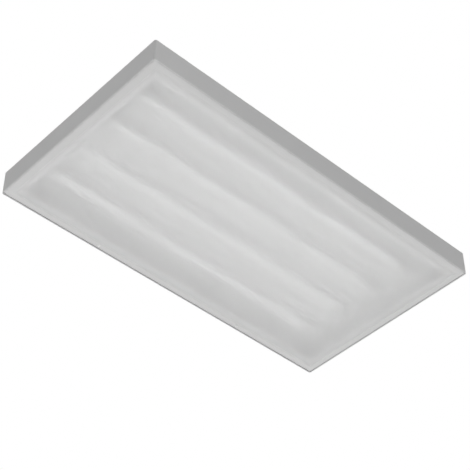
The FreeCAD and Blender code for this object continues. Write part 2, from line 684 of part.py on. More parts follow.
def make_holder(y, face, outward):
    back = face + outward * HOLDER_THICKNESS
    x0 = min(face, back)
    x1 = max(face, back)
    round_end = lengthwise(HOLDER_RADIUS, y, LAMP_Z, x0, x1)
    stem = block(x0, x1, y - HOLDER_RADIUS, y + HOLDER_RADIUS, LAMP_Z, TRAY_BOTTOM)
    body = round_end.fuse(stem).removeSplitter()
    rim = [e for e in body.Edges if e.BoundBox.XLength < 1e-6 and e.BoundBox.ZMin < TRAY_BOTTOM - 1e-6]
    body = body.makeFillet(HOLDER_EDGE_ROUND, rim)
    floor = face + outward * (ROTOR_DEPTH + LOOSE_CLEARANCE)
    well = lengthwise(ROTOR_RADIUS + RUNNING_CLEARANCE, y, LAMP_Z, face, floor)
    half_slot = PIN_RADIUS + ENTRY_SLOT_CLEARANCE
    slot = block(min(face, floor), max(face, floor), y - half_slot, y + half_slot,
                 LAMP_Z - HOLDER_RADIUS, LAMP_Z)
    middle = face + outward * HOLDER_THICKNESS / 2
    lead = upright(LEAD_RADIUS + LOOSE_CLEARANCE, middle, y, TRAY_BOTTOM - LEAD_HOLDER_DEPTH, TRAY_BOTTOM)
    for peg_y in (y - HOLDER_PEG_SPACING / 2, y + HOLDER_PEG_SPACING / 2):
        body = body.fuse(upright(HOLDER_PEG_RADIUS, middle, peg_y, TRAY_BOTTOM, TRAY_TOP + HOLDER_PEG_PROUD))
    return cut_all(body, [well, slot, lead])


def make_near_lampholders():
    return group(make_holder(y, NEAR_HOLDER_X, -1) for y in LAMP_YS)


def make_far_lampholders():
    return group(make_holder(y, FAR_HOLDER_X, 1) for y in LAMP_YS)


# Lamps: each end is (cap face, direction pointing out of the lamp)

LAMP_ENDS = [(LAMP_X0, -1), (LAMP_X1, 1)]


def pin_ys(y):
    return [y - PIN_SPACING / 2, y + PIN_SPACING / 2]


def make_lamp_tube(y):
    x0 = LAMP_X0 + LAMP_CAP_END
    x1 = LAMP_X1 - LAMP_CAP_END
    return ring(GLASS_RADIUS, GLASS_RADIUS - LAMP_GLASS_WALL, point(x0, y, LAMP_Z), point(x1, y, LAMP_Z))


def make_lamp_caps(y):
    caps = []
    for face, outward in LAMP_ENDS:
        inner = face - outward * LAMP_CAP_LENGTH
        seat = face - outward * LAMP_CAP_END
        cap = lengthwise(LAMP_CAP_RADIUS, y, LAMP_Z, inner, face)
        end_edge = [e for e in cap.Edges if abs(e.BoundBox.XMin - face) < 1e-6 and e.BoundBox.XLength < 1e-6]
        cap = cap.makeFillet(LAMP_CAP_ROUND, end_edge)
        bore = lengthwise(GLASS_RADIUS + PRESS_CLEARANCE, y, LAMP_Z, inner, seat)
        holes = [lengthwise(PIN_RADIUS + PRESS_CLEARANCE, py, LAMP_Z, seat, face) for py in pin_ys(y)]
        caps.append(cut_all(cap, [bore] + holes))
    return group(caps)


def make_lamp_pins(y):
    pins = []
    for face, outward in LAMP_ENDS:
        inner = face - outward * LAMP_CAP_END
        tip = face + outward * PIN_LENGTH
        pins += [lengthwise(PIN_RADIUS, py, LAMP_Z, inner, tip) for py in pin_ys(y)]
    return group(pins)


def make_lamp_rotors(y):
    rotors = []
    for lamp_face, outward in LAMP_ENDS:
        face = lamp_face + outward * HOLDER_GAP
        back = face + outward * ROTOR_DEPTH
        slot_floor = face + outward * PIN_SLOT_DEPTH
        half_slot = PIN_RADIUS + ROTOR_SLOT_CLEARANCE
        body = lengthwise(ROTOR_RADIUS, y, LAMP_Z, face, back)
        slot = block(min(face, slot_floor), max(face, slot_floor), y - ROTOR_RADIUS, y + ROTOR_RADIUS,
                     LAMP_Z - half_slot, LAMP_Z + half_slot)
        rotors.append(body.cut(slot))
    return group(rotors)


# Gear cover

def gear_screw_places():
    x = GEAR_X1 + GEAR_TAB_LENGTH / 2
    return [(x, -GEAR_SCREW_SPACING / 2), (x, GEAR_SCREW_SPACING / 2)]


def make_gear_cover():
    half = GEAR_WIDTH / 2
    floor = TRAY_BOTTOM - GEAR_DEPTH
    outer = block(GEAR_X0, GEAR_X1, -half, half, floor, TRAY_BOTTOM)
    outer = outer.makeFillet(GEAR_BEND_RADIUS, upright_edges(outer) + edges_at(outer, floor))
    room = block(GEAR_X0 + GEAR_SHEET, GEAR_X1 - GEAR_SHEET, GEAR_SHEET - half, half - GEAR_SHEET,
                 floor + GEAR_SHEET, TRAY_BOTTOM)
    inside_bend = max(GEAR_BEND_RADIUS - GEAR_SHEET, 0.1 * GEAR_SHEET)
    room = room.makeFillet(inside_bend, upright_edges(room) + edges_at(room, floor + GEAR_SHEET))
    cover = outer.cut(room)
    tab = block(GEAR_X1 - GEAR_SHEET, GEAR_X1 + GEAR_TAB_LENGTH,
                GEAR_BEND_RADIUS - half, half - GEAR_BEND_RADIUS,
                TRAY_BOTTOM - GEAR_SHEET, TRAY_BOTTOM)
    hook = block(GEAR_X0, GEAR_X0 + GEAR_SHEET, -GEAR_HOOK_WIDTH / 2, GEAR_HOOK_WIDTH / 2,
                 TRAY_BOTTOM - GEAR_SHEET, TRAY_TOP + GEAR_HOOK_PROUD)
    holes = [upright(GEAR_SCREW_RADIUS + PRESS_CLEARANCE, x, y, TRAY_BOTTOM - GEAR_SHEET, TRAY_BOTTOM)
             for x, y in gear_screw_places()]
    return cut_all(cover.fuse(tab).fuse(hook).removeSplitter(), holes)


def make_gear_screws():
    screws = []
    seat = TRAY_BOTTOM - GEAR_SHEET
    for x, y in gear_screw_places():
        head = upright(GEAR_SCREW_HEAD_RADIUS, x, y, seat - GEAR_SCREW_HEAD_HEIGHT, seat)
        head = round_level(head, seat - GEAR_SCREW_HEAD_HEIGHT, 0.4 * GEAR_SCREW_HEAD_HEIGHT)
        shank = upright(GEAR_SCREW_RADIUS, x, y, seat, TRAY_TOP + GEAR_SCREW_PROUD)
        low = seat - GEAR_SCREW_HEAD_HEIGHT
        high = low + GEAR_SCREW_RECESS_DEPTH
        across = GEAR_SCREW_RECESS_LENGTH / 2
        half = GEAR_SCREW_RECESS_WIDTH / 2
        recess = [block(x - across, x + across, y - half, y + half, low, high),
                  block(x - half, x + half, y - across, y + across, low, high)]
        screws.append(cut_all(head.fuse(shank), recess))
    return group(screws)


# Mains terminal

def make_terminal_block():
    half = 1.5 * TERMINAL_PITCH + TERMINAL_SIDE_WALL
    body = block(TERMINAL_X0, TERMINAL_X1, -half, half, TERMINAL_FACE, TRAY_BOTTOM)
    well = BUTTON_SIDE / 2 + BUTTON_CLEARANCE
    cuts = []
    for y in TERMINAL_YS.values():
        cuts.append(lengthwise(PORT_RADIUS, y, WIRE_Z, TERMINAL_X0, TERMINAL_X1))
        cuts.append(block(BUTTON_X - well, BUTTON_X + well, y - well, y + well,
                          TERMINAL_FACE, BUTTON_WELL_TOP))
    return cut_all(body, cuts)


def make_terminal_clamps():
    outer = PORT_RADIUS - PRESS_CLEARANCE
    return group(ring(outer, outer - CLAMP_WALL, point(CLAMP_X0, y, WIRE_Z), point(CLAMP_X1, y, WIRE_Z))
                 for y in TERMINAL_YS.values())


def make_terminal_button(y):
    half = BUTTON_SIDE / 2
    face = TERMINAL_FACE - BUTTON_PROUD
    top = BUTTON_WELL_TOP - BUTTON_TRAVEL - BUTTON_STOP_GAP
    button = block(BUTTON_X - half, BUTTON_X + half, y - half, y + half, face, top)
    return round_level(button, face, BUTTON_EDGE_ROUND)


# Driver: base against the tray, lid below it, board with its parts inside

def driver_box(margin, z0, z1):
    half = DRIVER_WIDTH / 2 - margin
    return block(DRIVER_X0 + margin, DRIVER_X1 - margin, -half, half, z0, z1)


def board_post_places():
    inset = DRIVER_WALL + BOARD_MARGIN + 2 * BOARD_POST_RADIUS
    half = DRIVER_WIDTH / 2 - inset
    return [(x, y) for x in (DRIVER_X0 + inset, DRIVER_X1 - inset) for y in (-half, half)]


def make_driver_base():
    outer = driver_box(0, DRIVER_SPLIT, TRAY_BOTTOM)
    outer = outer.makeFillet(DRIVER_EDGE_ROUND, upright_edges(outer))
    base = outer.cut(driver_box(DRIVER_WALL, DRIVER_SPLIT, TRAY_BOTTOM - DRIVER_WALL))
    for x, y in board_post_places():
        base = base.fuse(upright(BOARD_POST_RADIUS, x, y, BOARD_TOP, TRAY_BOTTOM - DRIVER_WALL))
    return base


def make_driver_lid():
    floor = TRAY_BOTTOM - DRIVER_DEPTH
    outer = driver_box(0, floor, DRIVER_SPLIT)
    outer = outer.makeFillet(DRIVER_EDGE_ROUND, upright_edges(outer) + edges_at(outer, floor))
    lid = outer.cut(driver_box(DRIVER_WALL, floor + DRIVER_WALL, DRIVER_SPLIT))
    mains = TERMINAL_PITCH + MAINS_WIRE_RADIUS + LOOSE_CLEARANCE
    leads = LEAD_SPAN / 2 + LEAD_RADIUS + LOOSE_CLEARANCE
    low = WIRE_Z - MAINS_WIRE_RADIUS - LOOSE_CLEARANCE
    slots = [block(DRIVER_X0, DRIVER_X0 + DRIVER_WALL, -mains, mains, low, DRIVER_SPLIT),
             block(DRIVER_X1 - DRIVER_WALL, DRIVER_X1, -leads, leads, low, DRIVER_SPLIT)]
    return cut_all(lid, slots)


def make_driver_board():
    margin = DRIVER_WALL + BOARD_MARGIN
    return driver_box(margin, BOARD_BOTTOM, BOARD_TOP)


def make_driver_connectors():
    bottom = BOARD_BOTTOM - CONNECTOR_HEIGHT
    mains = TERMINAL_PITCH + CONNECTOR_MARGIN
    leads = LEAD_SPAN / 2 + CONNECTOR_MARGIN
    return group([block(INPUT_X, INPUT_X + CONNECTOR_LENGTH, -mains, mains, bottom, BOARD_BOTTOM),
                  block(OUTPUT_X - CONNECTOR_LENGTH, OUTPUT_X, -leads, leads, bottom, BOARD_BOTTOM)])


def make_driver_parts():
    x = (DRIVER_X0 + DRIVER_X1) / 2
    coil_x0 = x - COIL_LENGTH / 2
    coil = block(coil_x0, coil_x0 + COIL_LENGTH, -COIL_WIDTH / 2, COIL_WIDTH / 2,
                 BOARD_BOTTOM - COIL_HEIGHT, BOARD_BOTTOM)
    cans = []
    for side in (-1, 1):
        y = side * (COIL_WIDTH / 2 + 1.5 * CAPACITOR_RADIUS)
        for can_x in (x - CAPACITOR_SPACING / 2, x + CAPACITOR_SPACING / 2):
            cans.append(upright(CAPACITOR_RADIUS, can_x, y, BOARD_BOTTOM - CAPACITOR_HEIGHT, BOARD_BOTTOM))
    return group([coil] + cans)


# Mains wires and earth connection

def make_mains_wire(y):
    return lengthwise(MAINS_WIRE_RADIUS, y, WIRE_Z, CLAMP_X1, INPUT_X)


def make_earth_stud():
    shoulder_end = WIRE_Z + LUG_THICKNESS / 2
    shoulder = upright(EARTH_SHOULDER_RADIUS, EARTH_STUD_X, EARTH_STUD_Y, shoulder_end, TRAY_BOTTOM)
    stud = upright(EARTH_STUD_RADIUS, EARTH_STUD_X, EARTH_STUD_Y, WIRE_Z - EARTH_STUD_END, shoulder_end)
    return shoulder.fuse(stud)


def make_earth_nut():
    seat = WIRE_Z - LUG_THICKNESS / 2
    return hex_nut(EARTH_NUT_FLATS, EARTH_STUD_RADIUS + PRESS_CLEARANCE, EARTH_STUD_X, EARTH_STUD_Y,
                   seat - EARTH_NUT_HEIGHT, seat)


def lug_end_y():
    return EARTH_STUD_Y - EARTH_NUT_FLATS / math.sqrt(3) - LUG_BARREL_LENGTH


def make_earth_lug():
    z0 = WIRE_Z - LUG_THICKNESS / 2
    z1 = WIRE_Z + LUG_THICKNESS / 2
    eye = upright(LUG_RADIUS, EARTH_STUD_X, EARTH_STUD_Y, z0, z1)
    barrel_end = lug_end_y() + LUG_BARREL_LENGTH
    tongue = block(EARTH_STUD_X - LUG_BARREL_RADIUS, EARTH_STUD_X + LUG_BARREL_RADIUS, barrel_end,
                   EARTH_STUD_Y, z0, z1)
    barrel = rod(LUG_BARREL_RADIUS, point(EARTH_STUD_X, lug_end_y(), WIRE_Z),
                 point(EARTH_STUD_X, barrel_end, WIRE_Z))
    hole = upright(EARTH_STUD_RADIUS + PRESS_CLEARANCE, EARTH_STUD_X, EARTH_STUD_Y, z0, z1)
    return eye.fuse(tongue).fuse(barrel).cut(hole)


def make_earth_wire():
    y = TERMINAL_YS["earth"]
    route = [point(CLAMP_X1, y, WIRE_Z), point(EARTH_STUD_X, y, WIRE_Z),
             point(EARTH_STUD_X, lug_end_y(), WIRE_Z)]
    bend = min(LEAD_BEND_RADIUS, 0.9 * (lug_end_y() - y))
    return wire(route, MAINS_WIRE_RADIUS, bend)


# Lamp leads: one from the driver to each lampholder, run above the tray.
# On each half of the fitting the leads leave in the order outer near, inner near, outer far, inner far.

def lead_route(number):
    side = -1 if number < LAMP_COUNT else 1
    place = number if side < 0 else LEAD_COUNT - 1 - number
    half_count = LAMP_COUNT // 2
    to_far_end = place >= half_count
    inward = place % half_count
    lamp_y = LAMP_YS[inward] if side < 0 else LAMP_YS[LAMP_COUNT - 1 - inward]
    exit_y = number * LEAD_PITCH - LEAD_SPAN / 2
    turn = LEAD_TURN_OFFSET + inward * LEAD_TURN_STEP
    turn_x = LEAD_RISE_X + (turn if to_far_end else -turn)
    holder_x = FAR_HOLDER_X + HOLDER_THICKNESS / 2 if to_far_end else NEAR_HOLDER_X - HOLDER_THICKNESS / 2
    return [point(OUTPUT_X, exit_y, WIRE_Z), point(LEAD_RISE_X, exit_y, WIRE_Z),
            point(LEAD_RISE_X, exit_y, LEAD_RUN_Z), point(turn_x, exit_y, LEAD_RUN_Z),
            point(turn_x, lamp_y, LEAD_RUN_Z), point(holder_x, lamp_y, LEAD_RUN_Z),
            point(holder_x, lamp_y, TRAY_BOTTOM - LEAD_HOLDER_DEPTH)]


def make_lamp_leads():
    return group(wire(lead_route(n), LEAD_RADIUS, LEAD_BEND_RADIUS) for n in range(LEAD_COUNT))


# Every node and its shape

def build():
    nodes = {
        "housing": make_housing(),
        "suspension_nuts": make_suspension_nuts(),
        "cable_bushing": make_cable_bushing(),
        "reflector_tray": make_reflector_tray(),
        "tray_skirts": make_tray_skirts(),
        "tray_studs": make_tray_studs(),
        "tray_nuts": make_tray_nuts(),
        "near_lampholders": make_near_lampholders(),
        "far_lampholders": make_far_lampholders(),
        "gear_cover": make_gear_cover(),
        "gear_screws": make_gear_screws(),
        "terminal_block": make_terminal_block(),
        "terminal_clamps": make_terminal_clamps(),
        "driver_base": make_driver_base(),
        "driver_lid": make_driver_lid(),
        "driver_board": make_driver_board(),
        "driver_connectors": make_driver_connectors(),
        "driver_parts": make_driver_parts(),
        "line_wire": make_mains_wire(TERMINAL_YS["line"]),
        "neutral_wire": make_mains_wire(TERMINAL_YS["neutral"]),
        "earth_wire": make_earth_wire(),
        "earth_stud": make_earth_stud(),
        "earth_nut": make_earth_nut(),
        "earth_lug": make_earth_lug(),
        "lamp_leads": make_lamp_leads(),
        "screw_brackets": make_screw_brackets(),
        "bracket_nuts": make_bracket_nuts(),
        "hinge_pins": make_hinge_pins(),
        "hinge_washers": make_hinge_washers(),
        "hinge_rings": make_hinge_rings(),
        "cover_frame": make_cover_frame(),
        "diffuser_seal": make_diffuser_seal(),
        "diffuser": make_diffuser(),
        "diffuser_clips": make_diffuser_clips(),
        "screw_retainers": make_screw_retainers(),
    }
    for side, x in zip(("near", "far"), screw_xs()):
        nodes[f"cover_screw_{side}"] = make_cover_screw(x)
    for pole, y in TERMINAL_YS.items():
        nodes[f"terminal_button_{pole}"] = make_terminal_button(y)
    for number, y in enumerate(LAMP_YS, start=1):
        nodes[f"lamp_{number}_tube"] = make_lamp_tube(y)
        nodes[f"lamp_{number}_caps"] = make_lamp_caps(y)
        nodes[f"lamp_{number}_pins"] = make_lamp_pins(y)
        nodes[f"lamp_{number}_rotors"] = make_lamp_rotors(y)
    return nodes


os.makedirs("parts", exist_ok=True)
for name, shape in build().items():
    shape.exportStep(f"parts/{name}.step")
    print(name, len(shape.Solids), "solids", round(shape.Volume), "mm3", shape.isValid())
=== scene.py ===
"""Looks of a flat suspended office luminaire: its finishes, threaded fasteners, studio and camera."""

import logging
import math
from collections.abc import Callable
from dataclasses import dataclass
from enum import Enum

import bmesh
import bpy
from mathutils import Matrix, Vector


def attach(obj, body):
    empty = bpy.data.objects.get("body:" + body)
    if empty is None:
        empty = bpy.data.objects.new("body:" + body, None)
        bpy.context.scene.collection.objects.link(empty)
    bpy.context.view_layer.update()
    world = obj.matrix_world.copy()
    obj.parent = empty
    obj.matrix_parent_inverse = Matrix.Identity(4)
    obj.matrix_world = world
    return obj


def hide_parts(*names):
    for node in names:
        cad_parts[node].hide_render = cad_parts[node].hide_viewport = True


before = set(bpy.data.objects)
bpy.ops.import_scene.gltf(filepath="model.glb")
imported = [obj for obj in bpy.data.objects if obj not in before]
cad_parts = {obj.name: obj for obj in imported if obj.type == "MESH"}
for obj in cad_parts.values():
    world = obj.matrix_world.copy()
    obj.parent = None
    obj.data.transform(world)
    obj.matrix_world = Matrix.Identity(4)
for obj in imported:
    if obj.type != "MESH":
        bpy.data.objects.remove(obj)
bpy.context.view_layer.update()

LOG = logging.getLogger("luminaire")
Rgb = tuple[float, float, float]
Span = tuple[float, float]
LEVEL = 0.00001
KEEN = 0.000001


class Skin(Enum):
    """How the surface of a finish is broken up at close range."""

    SPRAYED = "sprayed"
    MOULDED = "moulded"
    PLATED = "plated"
    DRAWN = "drawn"
    CELLULAR = "cellular"


class ShaderBoard:
    """Node tree of one material, with the few steps that every finish needs."""

    def __init__(self, name: str) -> None:
        """Start a material with a Principled shader.

        Args:
            name: Name of the material.
        """
        self.material = bpy.data.materials.new(name)
        self.material.use_nodes = True
        self.nodes = self.material.node_tree.nodes
        self.links = self.material.node_tree.links
        self.nodes.clear()
        output = self.nodes.new("ShaderNodeOutputMaterial")
        self.shader = self.nodes.new("ShaderNodeBsdfPrincipled")
        self.links.new(self.shader.outputs["BSDF"], output.inputs["Surface"])
        self.place = self.nodes.new("ShaderNodeTexCoord").outputs["Object"]

    def fix(self, **values: float | Rgb) -> None:
        """Set sockets of the shader that are the same all over, by their name with _ for a space."""
        for name, value in values.items():
            socket = self.shader.inputs[name.replace("_", " ")]
            socket.default_value = (*value, 1.0) if isinstance(value, tuple) else value

    def wire(self, source: bpy.types.NodeSocket, name: str) -> None:
        """Join a socket to the shader's input of that name."""
        self.links.new(source, self.shader.inputs[name])

    def mapped(self, scale: Rgb = (1.0, 1.0, 1.0), shift: Rgb = (0.0, 0.0, 0.0)) -> bpy.types.NodeSocket:
        """Give the object's coordinates, moved and stretched.

        Args:
            scale: Factor along each axis, after the move.
            shift: Point of the object that becomes the origin, in metres.

        Returns:
            The vector socket.
        """
        node = self.nodes.new("ShaderNodeMapping")
        node.inputs["Location"].default_value = tuple(-s * k for s, k in zip(shift, scale))
        node.inputs["Scale"].default_value = scale
        self.links.new(self.place, node.inputs["Vector"])
        return node.outputs["Vector"]

    def noise(self, cell: float, detail: float = 3.0, stretch: Rgb = (1.0, 1.0, 1.0)) -> bpy.types.NodeSocket:
        """Add cloudy noise.

        Args:
            cell: Size of a cloud, in metres.
            detail: Number of finer layers.
            stretch: Factor on the coordinates, larger for shorter clouds.

        Returns:
            The noise value, about 0.5 on average.
        """
        node = self.nodes.new("ShaderNodeTexNoise")
        node.inputs["Scale"].default_value = 1.0 / cell
        node.inputs["Detail"].default_value = detail
        self.links.new(self.mapped(stretch), node.inputs["Vector"])
        return node.outputs["Fac"]

    def cells(self, size: float) -> bpy.types.NodeSocket:
        """Add rounded cells of that size in metres and give the distance from their middles."""
        node = self.nodes.new("ShaderNodeTexVoronoi")
        node.inputs["Scale"].default_value = 1.0 / size
        self.links.new(self.place, node.inputs["Vector"])
        return node.outputs["Distance"]

    def axis(self, name: str, shift: Rgb = (0.0, 0.0, 0.0)) -> bpy.types.NodeSocket:
        """Give one coordinate of the object, X, Y or Z, measured from a point of it."""
        node = self.nodes.new("ShaderNodeSeparateXYZ")
        self.links.new(self.mapped(shift=shift), node.inputs["Vector"])
        return node.outputs[name]

    def maths(self, operation: str, first: bpy.types.NodeSocket,
              second: bpy.types.NodeSocket | float = 0.0) -> bpy.types.NodeSocket:
        """Combine a socket with another or with a number by a Math node."""
        node = self.nodes.new("ShaderNodeMath")
        node.operation = operation
        self.links.new(first, node.inputs[0])
        if isinstance(second, (int, float)):
            node.inputs[1].default_value = second
        else:
            self.links.new(second, node.inputs[1])
        return node.outputs[0]

    def graded(self, value: bpy.types.NodeSocket, source: Span, target: Span) -> bpy.types.NodeSocket:
        """Map one span of a value to another, clamped.

        Args:
            value: The socket to map.
            source: Values at the two ends.
            target: What they become.

        Returns:
            The mapped value.
        """
        node = self.nodes.new("ShaderNodeMapRange")
        self.links.new(value, node.inputs["Value"])
        for name, number in zip(("From Min", "From Max", "To Min", "To Max"), (*source, *target)):
            node.inputs[name].default_value = number
        return node.outputs["Result"]

    def tinted(self, value: bpy.types.NodeSocket, stops: list[tuple[float, Rgb]]) -> bpy.types.NodeSocket:
        """Turn a value into a colour.

        Args:
            value: The socket to map.
            stops: Places from 0 to 1 and the colour at each, in order.

        Returns:
            The colour.
        """
        node = self.nodes.new("ShaderNodeValToRGB")
        elements = node.color_ramp.elements
        elements[0].position, elements[0].color = stops[0][0], (*stops[0][1], 1.0)
        elements[1].position, elements[1].color = stops[-1][0], (*stops[-1][1], 1.0)
        for place, colour in stops[1:-1]:
            elements.new(place).color = (*colour, 1.0)
        self.links.new(value, node.inputs["Fac"])
        return node.outputs["Color"]

    def relief(self, height: bpy.types.NodeSocket, depth: float, strength: float = 1.0) -> None:
        """Raise the surface by a height from 0 to 1 times a depth in metres, as a bump."""
        node = self.nodes.new("ShaderNodeBump")
        node.inputs["Strength"].default_value = strength
        node.inputs["Distance"].default_value = depth
        self.links.new(height, node.inputs["Height"])
        self.wire(node.outputs["Normal"], "Normal")


def grey(level: float) -> Rgb:
    """Give a neutral colour of one level."""
    return (level, level, level)


def scaled(tone: Rgb, factor: float) -> Rgb:
    """Give a colour made lighter or darker by a factor."""
    return (tone[0] * factor, tone[1] * factor, tone[2] * factor)


@dataclass(frozen=True)
class Finish:
    """A coated, moulded or metal surface with mottled tone, uneven gloss and a fine skin."""

    name: str
    tone: Rgb
    skin: Skin
    roughness: Span
    mottle: float = 0.03
    cloud: float = 0.12
    grain: float = 0.0012
    relief: float = 0.00004
    metallic: float = 0.0

    def skin_height(self, board: ShaderBoard) -> bpy.types.NodeSocket:
        """Lay the fine skin that this finish has.

        Args:
            board: The material being made.

        Returns:
            The height of the skin, from 0 to 1.
        """
        if self.skin is Skin.CELLULAR:
            return board.cells(self.grain)
        if self.skin is Skin.DRAWN:
            return board.noise(self.grain, 2.0, (1.0, 0.06, 0.06))
        if self.skin is Skin.PLATED:
            return board.noise(self.grain, 5.0)
        if self.skin is Skin.MOULDED:
            return board.noise(self.grain, 1.0)
        return board.noise(self.grain, 2.0)

    def colour(self, board: ShaderBoard) -> bpy.types.NodeSocket:
        """Mottle the tone.

        Args:
            board: The material being made.

        Returns:
            The colour.
        """
        stops = [(0.3, scaled(self.tone, 1.0 - self.mottle)), (0.7, scaled(self.tone, 1.0 + self.mottle))]
        return board.tinted(board.noise(self.cloud, 5.0), stops)

    def make(self) -> bpy.types.Material:
        """Build the material."""
        board = ShaderBoard(self.name)
        board.fix(Metallic=self.metallic)
        board.wire(self.colour(board), "Base Color")
        board.wire(board.graded(board.noise(self.cloud / 3.0, 4.0), (0.3, 0.7), self.roughness), "Roughness")
        board.relief(self.skin_height(board), self.relief)
        return board.material


@dataclass(frozen=True)
class PaintedFoldLightCoat(Finish):
    """A neutral coat painted lighter on the fold round the mouth: painted light that stands for the light the
    rounded fold catches and lifts the shade in the gap beside it.
    """

    fold: Span = (-0.072, -0.079)
    painted_lift: float = 1.12

    def colour(self, board: ShaderBoard) -> bpy.types.NodeSocket:
        """Mottle the tone and paint it lighter down the fold, as painted light.

        Args:
            board: The material being made.

        Returns:
            The colour.
        """
        # Painted light: the coat is lightened over the lowest few millimetres of the box, where the fold and
        # the gap beside it would render darker.
        lighter = board.graded(board.axis("Z"), self.fold, (1.0, self.painted_lift))
        return board.maths("MULTIPLY", super().colour(board), lighter)


@dataclass(frozen=True)
class OpalSheet:
    """Satin opal acrylic that blurs what lies behind it, painted denser and less clear towards its edges:
    painted light that stands for the light the sheet carries along its edges and covers the shade in the gaps
    behind them.
    """

    name: str
    tones: tuple[float, ...]
    clarity: Span
    roughness: Span
    half: Span = (0.5754, 0.3004)
    painted_edge_bands: tuple[float, ...] = (0.024, 0.030, 0.030, 0.030)
    rim: float = 0.002
    index: float = 1.33

    def painted_edge_mask(self, board: ShaderBoard) -> bpy.types.NodeSocket:
        """Measure the way to the nearest edge, the mask of the painted light in the edge band.

        Args:
            board: The material being made.

        Returns:
            0 over the middle of the sheet, rising to 1 at its edges.
        """
        painted_edge = None
        for number, band in enumerate(self.painted_edge_bands):
            half = self.half[number // 2] * (-1.0, 1.0)[number % 2]
            inward = math.copysign(1.0, half)
            ends = (half - inward * band, half - inward * self.rim)
            side = board.graded(board.axis("XY"[number // 2]), ends, (0.0, 1.0))
            painted_edge = board.maths("MAXIMUM", side, painted_edge) if painted_edge else side
        return painted_edge

    def make(self) -> bpy.types.Material:
        """Build the material."""
        board = ShaderBoard(self.name)
        board.fix(IOR=self.index)
        painted_edge = self.painted_edge_mask(board)
        # Painted light: the edge band lets less through and shows the sheet's own lit tone, so the shade in
        # the gaps behind the edges does not show.
        board.wire(board.graded(painted_edge, (0.0, 1.0), self.clarity), "Transmission Weight")
        painted_edge_and_cloud = board.maths("ADD", painted_edge, board.graded(board.noise(0.2, 2.0), (0.3, 0.7), (0.0, 0.06)))
        stops = [(step / (len(self.tones) - 1), grey(tone)) for step, tone in enumerate(self.tones)]
        board.wire(board.tinted(painted_edge_and_cloud, stops), "Base Color")
        board.wire(board.graded(board.noise(0.08, 1.0), (0.3, 0.7), self.roughness), "Roughness")
        return board.material


@dataclass(frozen=True)
class LampGlass:
    """White coated lamp glass that has greyed a little beside its caps."""

    name: str
    tone: Rgb
    aged: Rgb
    middle_x: float
    clean_half: float
    glass_half: float

    def make(self) -> bpy.types.Material:
        """Build the material."""
        board = ShaderBoard(self.name)
        along = board.maths("ABSOLUTE", board.axis("X", (self.middle_x, 0.0, 0.0)))
        age = board.graded(along, (self.clean_half, self.glass_half), (0.0, 0.8))
        patchy = board.maths("ADD", age, board.graded(board.noise(0.02), (0.3, 0.7), (0.0, 0.2)))
        stops = [(0.0, self.tone), (0.35, scaled(self.tone, 0.97)), (1.0, self.aged)]
        board.wire(board.tinted(patchy, stops), "Base Color")
        board.wire(board.graded(board.noise(0.03), (0.3, 0.7), (0.16, 0.26)), "Roughness")
        board.relief(board.noise(0.004, 1.0), 0.00001)
        return board.material


@dataclass(frozen=True)
class TwoToneInsulation:
    """Wire insulation with a stripe of a second colour along its top and its underside."""

    name: str
    tone: Rgb
    stripe: Rgb
    middle_z: float
    half: float

    def make(self) -> bpy.types.Material:
        """Build the material."""
        board = ShaderBoard(self.name)
        ends = (self.middle_z - self.half, self.middle_z + self.half)
        side = board.graded(board.axis("Z"), ends, (0.0, 1.0))
        stops = [(0.0, self.stripe), (0.06, self.stripe), (0.08, self.tone), (0.92, self.tone),
                 (0.94, self.stripe), (1.0, self.stripe)]
        board.wire(board.tinted(side, stops), "Base Color")
        board.wire(board.graded(board.noise(0.004), (0.3, 0.7), (0.38, 0.5)), "Roughness")
        board.relief(board.noise(0.0006, 2.0), 0.00002)
        return board.material


@dataclass(frozen=True)
class Laminate:
    """Circuit board laminate with tracks under its lacquer."""

    name: str
    tone: Rgb
    track: Rgb
    pitch: float

    def make(self) -> bpy.types.Material:
        """Build the material."""
        board = ShaderBoard(self.name)
        brick = board.nodes.new("ShaderNodeTexBrick")
        brick.inputs["Scale"].default_value = 1.0 / self.pitch
        brick.inputs["Color1"].default_value = (*self.tone, 1.0)
        brick.inputs["Color2"].default_value = (*scaled(self.tone, 0.85), 1.0)
        brick.inputs["Mortar"].default_value = (*self.track, 1.0)
        brick.inputs["Mortar Size"].default_value = 0.06
        board.links.new(board.place, brick.inputs["Vector"])
        board.wire(brick.outputs["Color"], "Base Color")
        board.wire(board.graded(board.noise(0.006), (0.3, 0.7), (0.3, 0.45)), "Roughness")
        board.relief(brick.outputs["Fac"], 0.00003)
        return board.material


WHITE_COAT = Finish("white_coat", grey(0.66), Skin.SPRAYED, (0.40, 0.50), mottle=0.012, cloud=0.25)
BOX_COAT_PAINTED_LIGHT = PaintedFoldLightCoat("box_coat_painted_light", grey(0.66), Skin.SPRAYED, (0.40, 0.50), mottle=0.012, cloud=0.25)
REFLECTOR_COAT = Finish("reflector_coat", grey(0.72), Skin.SPRAYED, (0.30, 0.40), mottle=0.01, cloud=0.2)
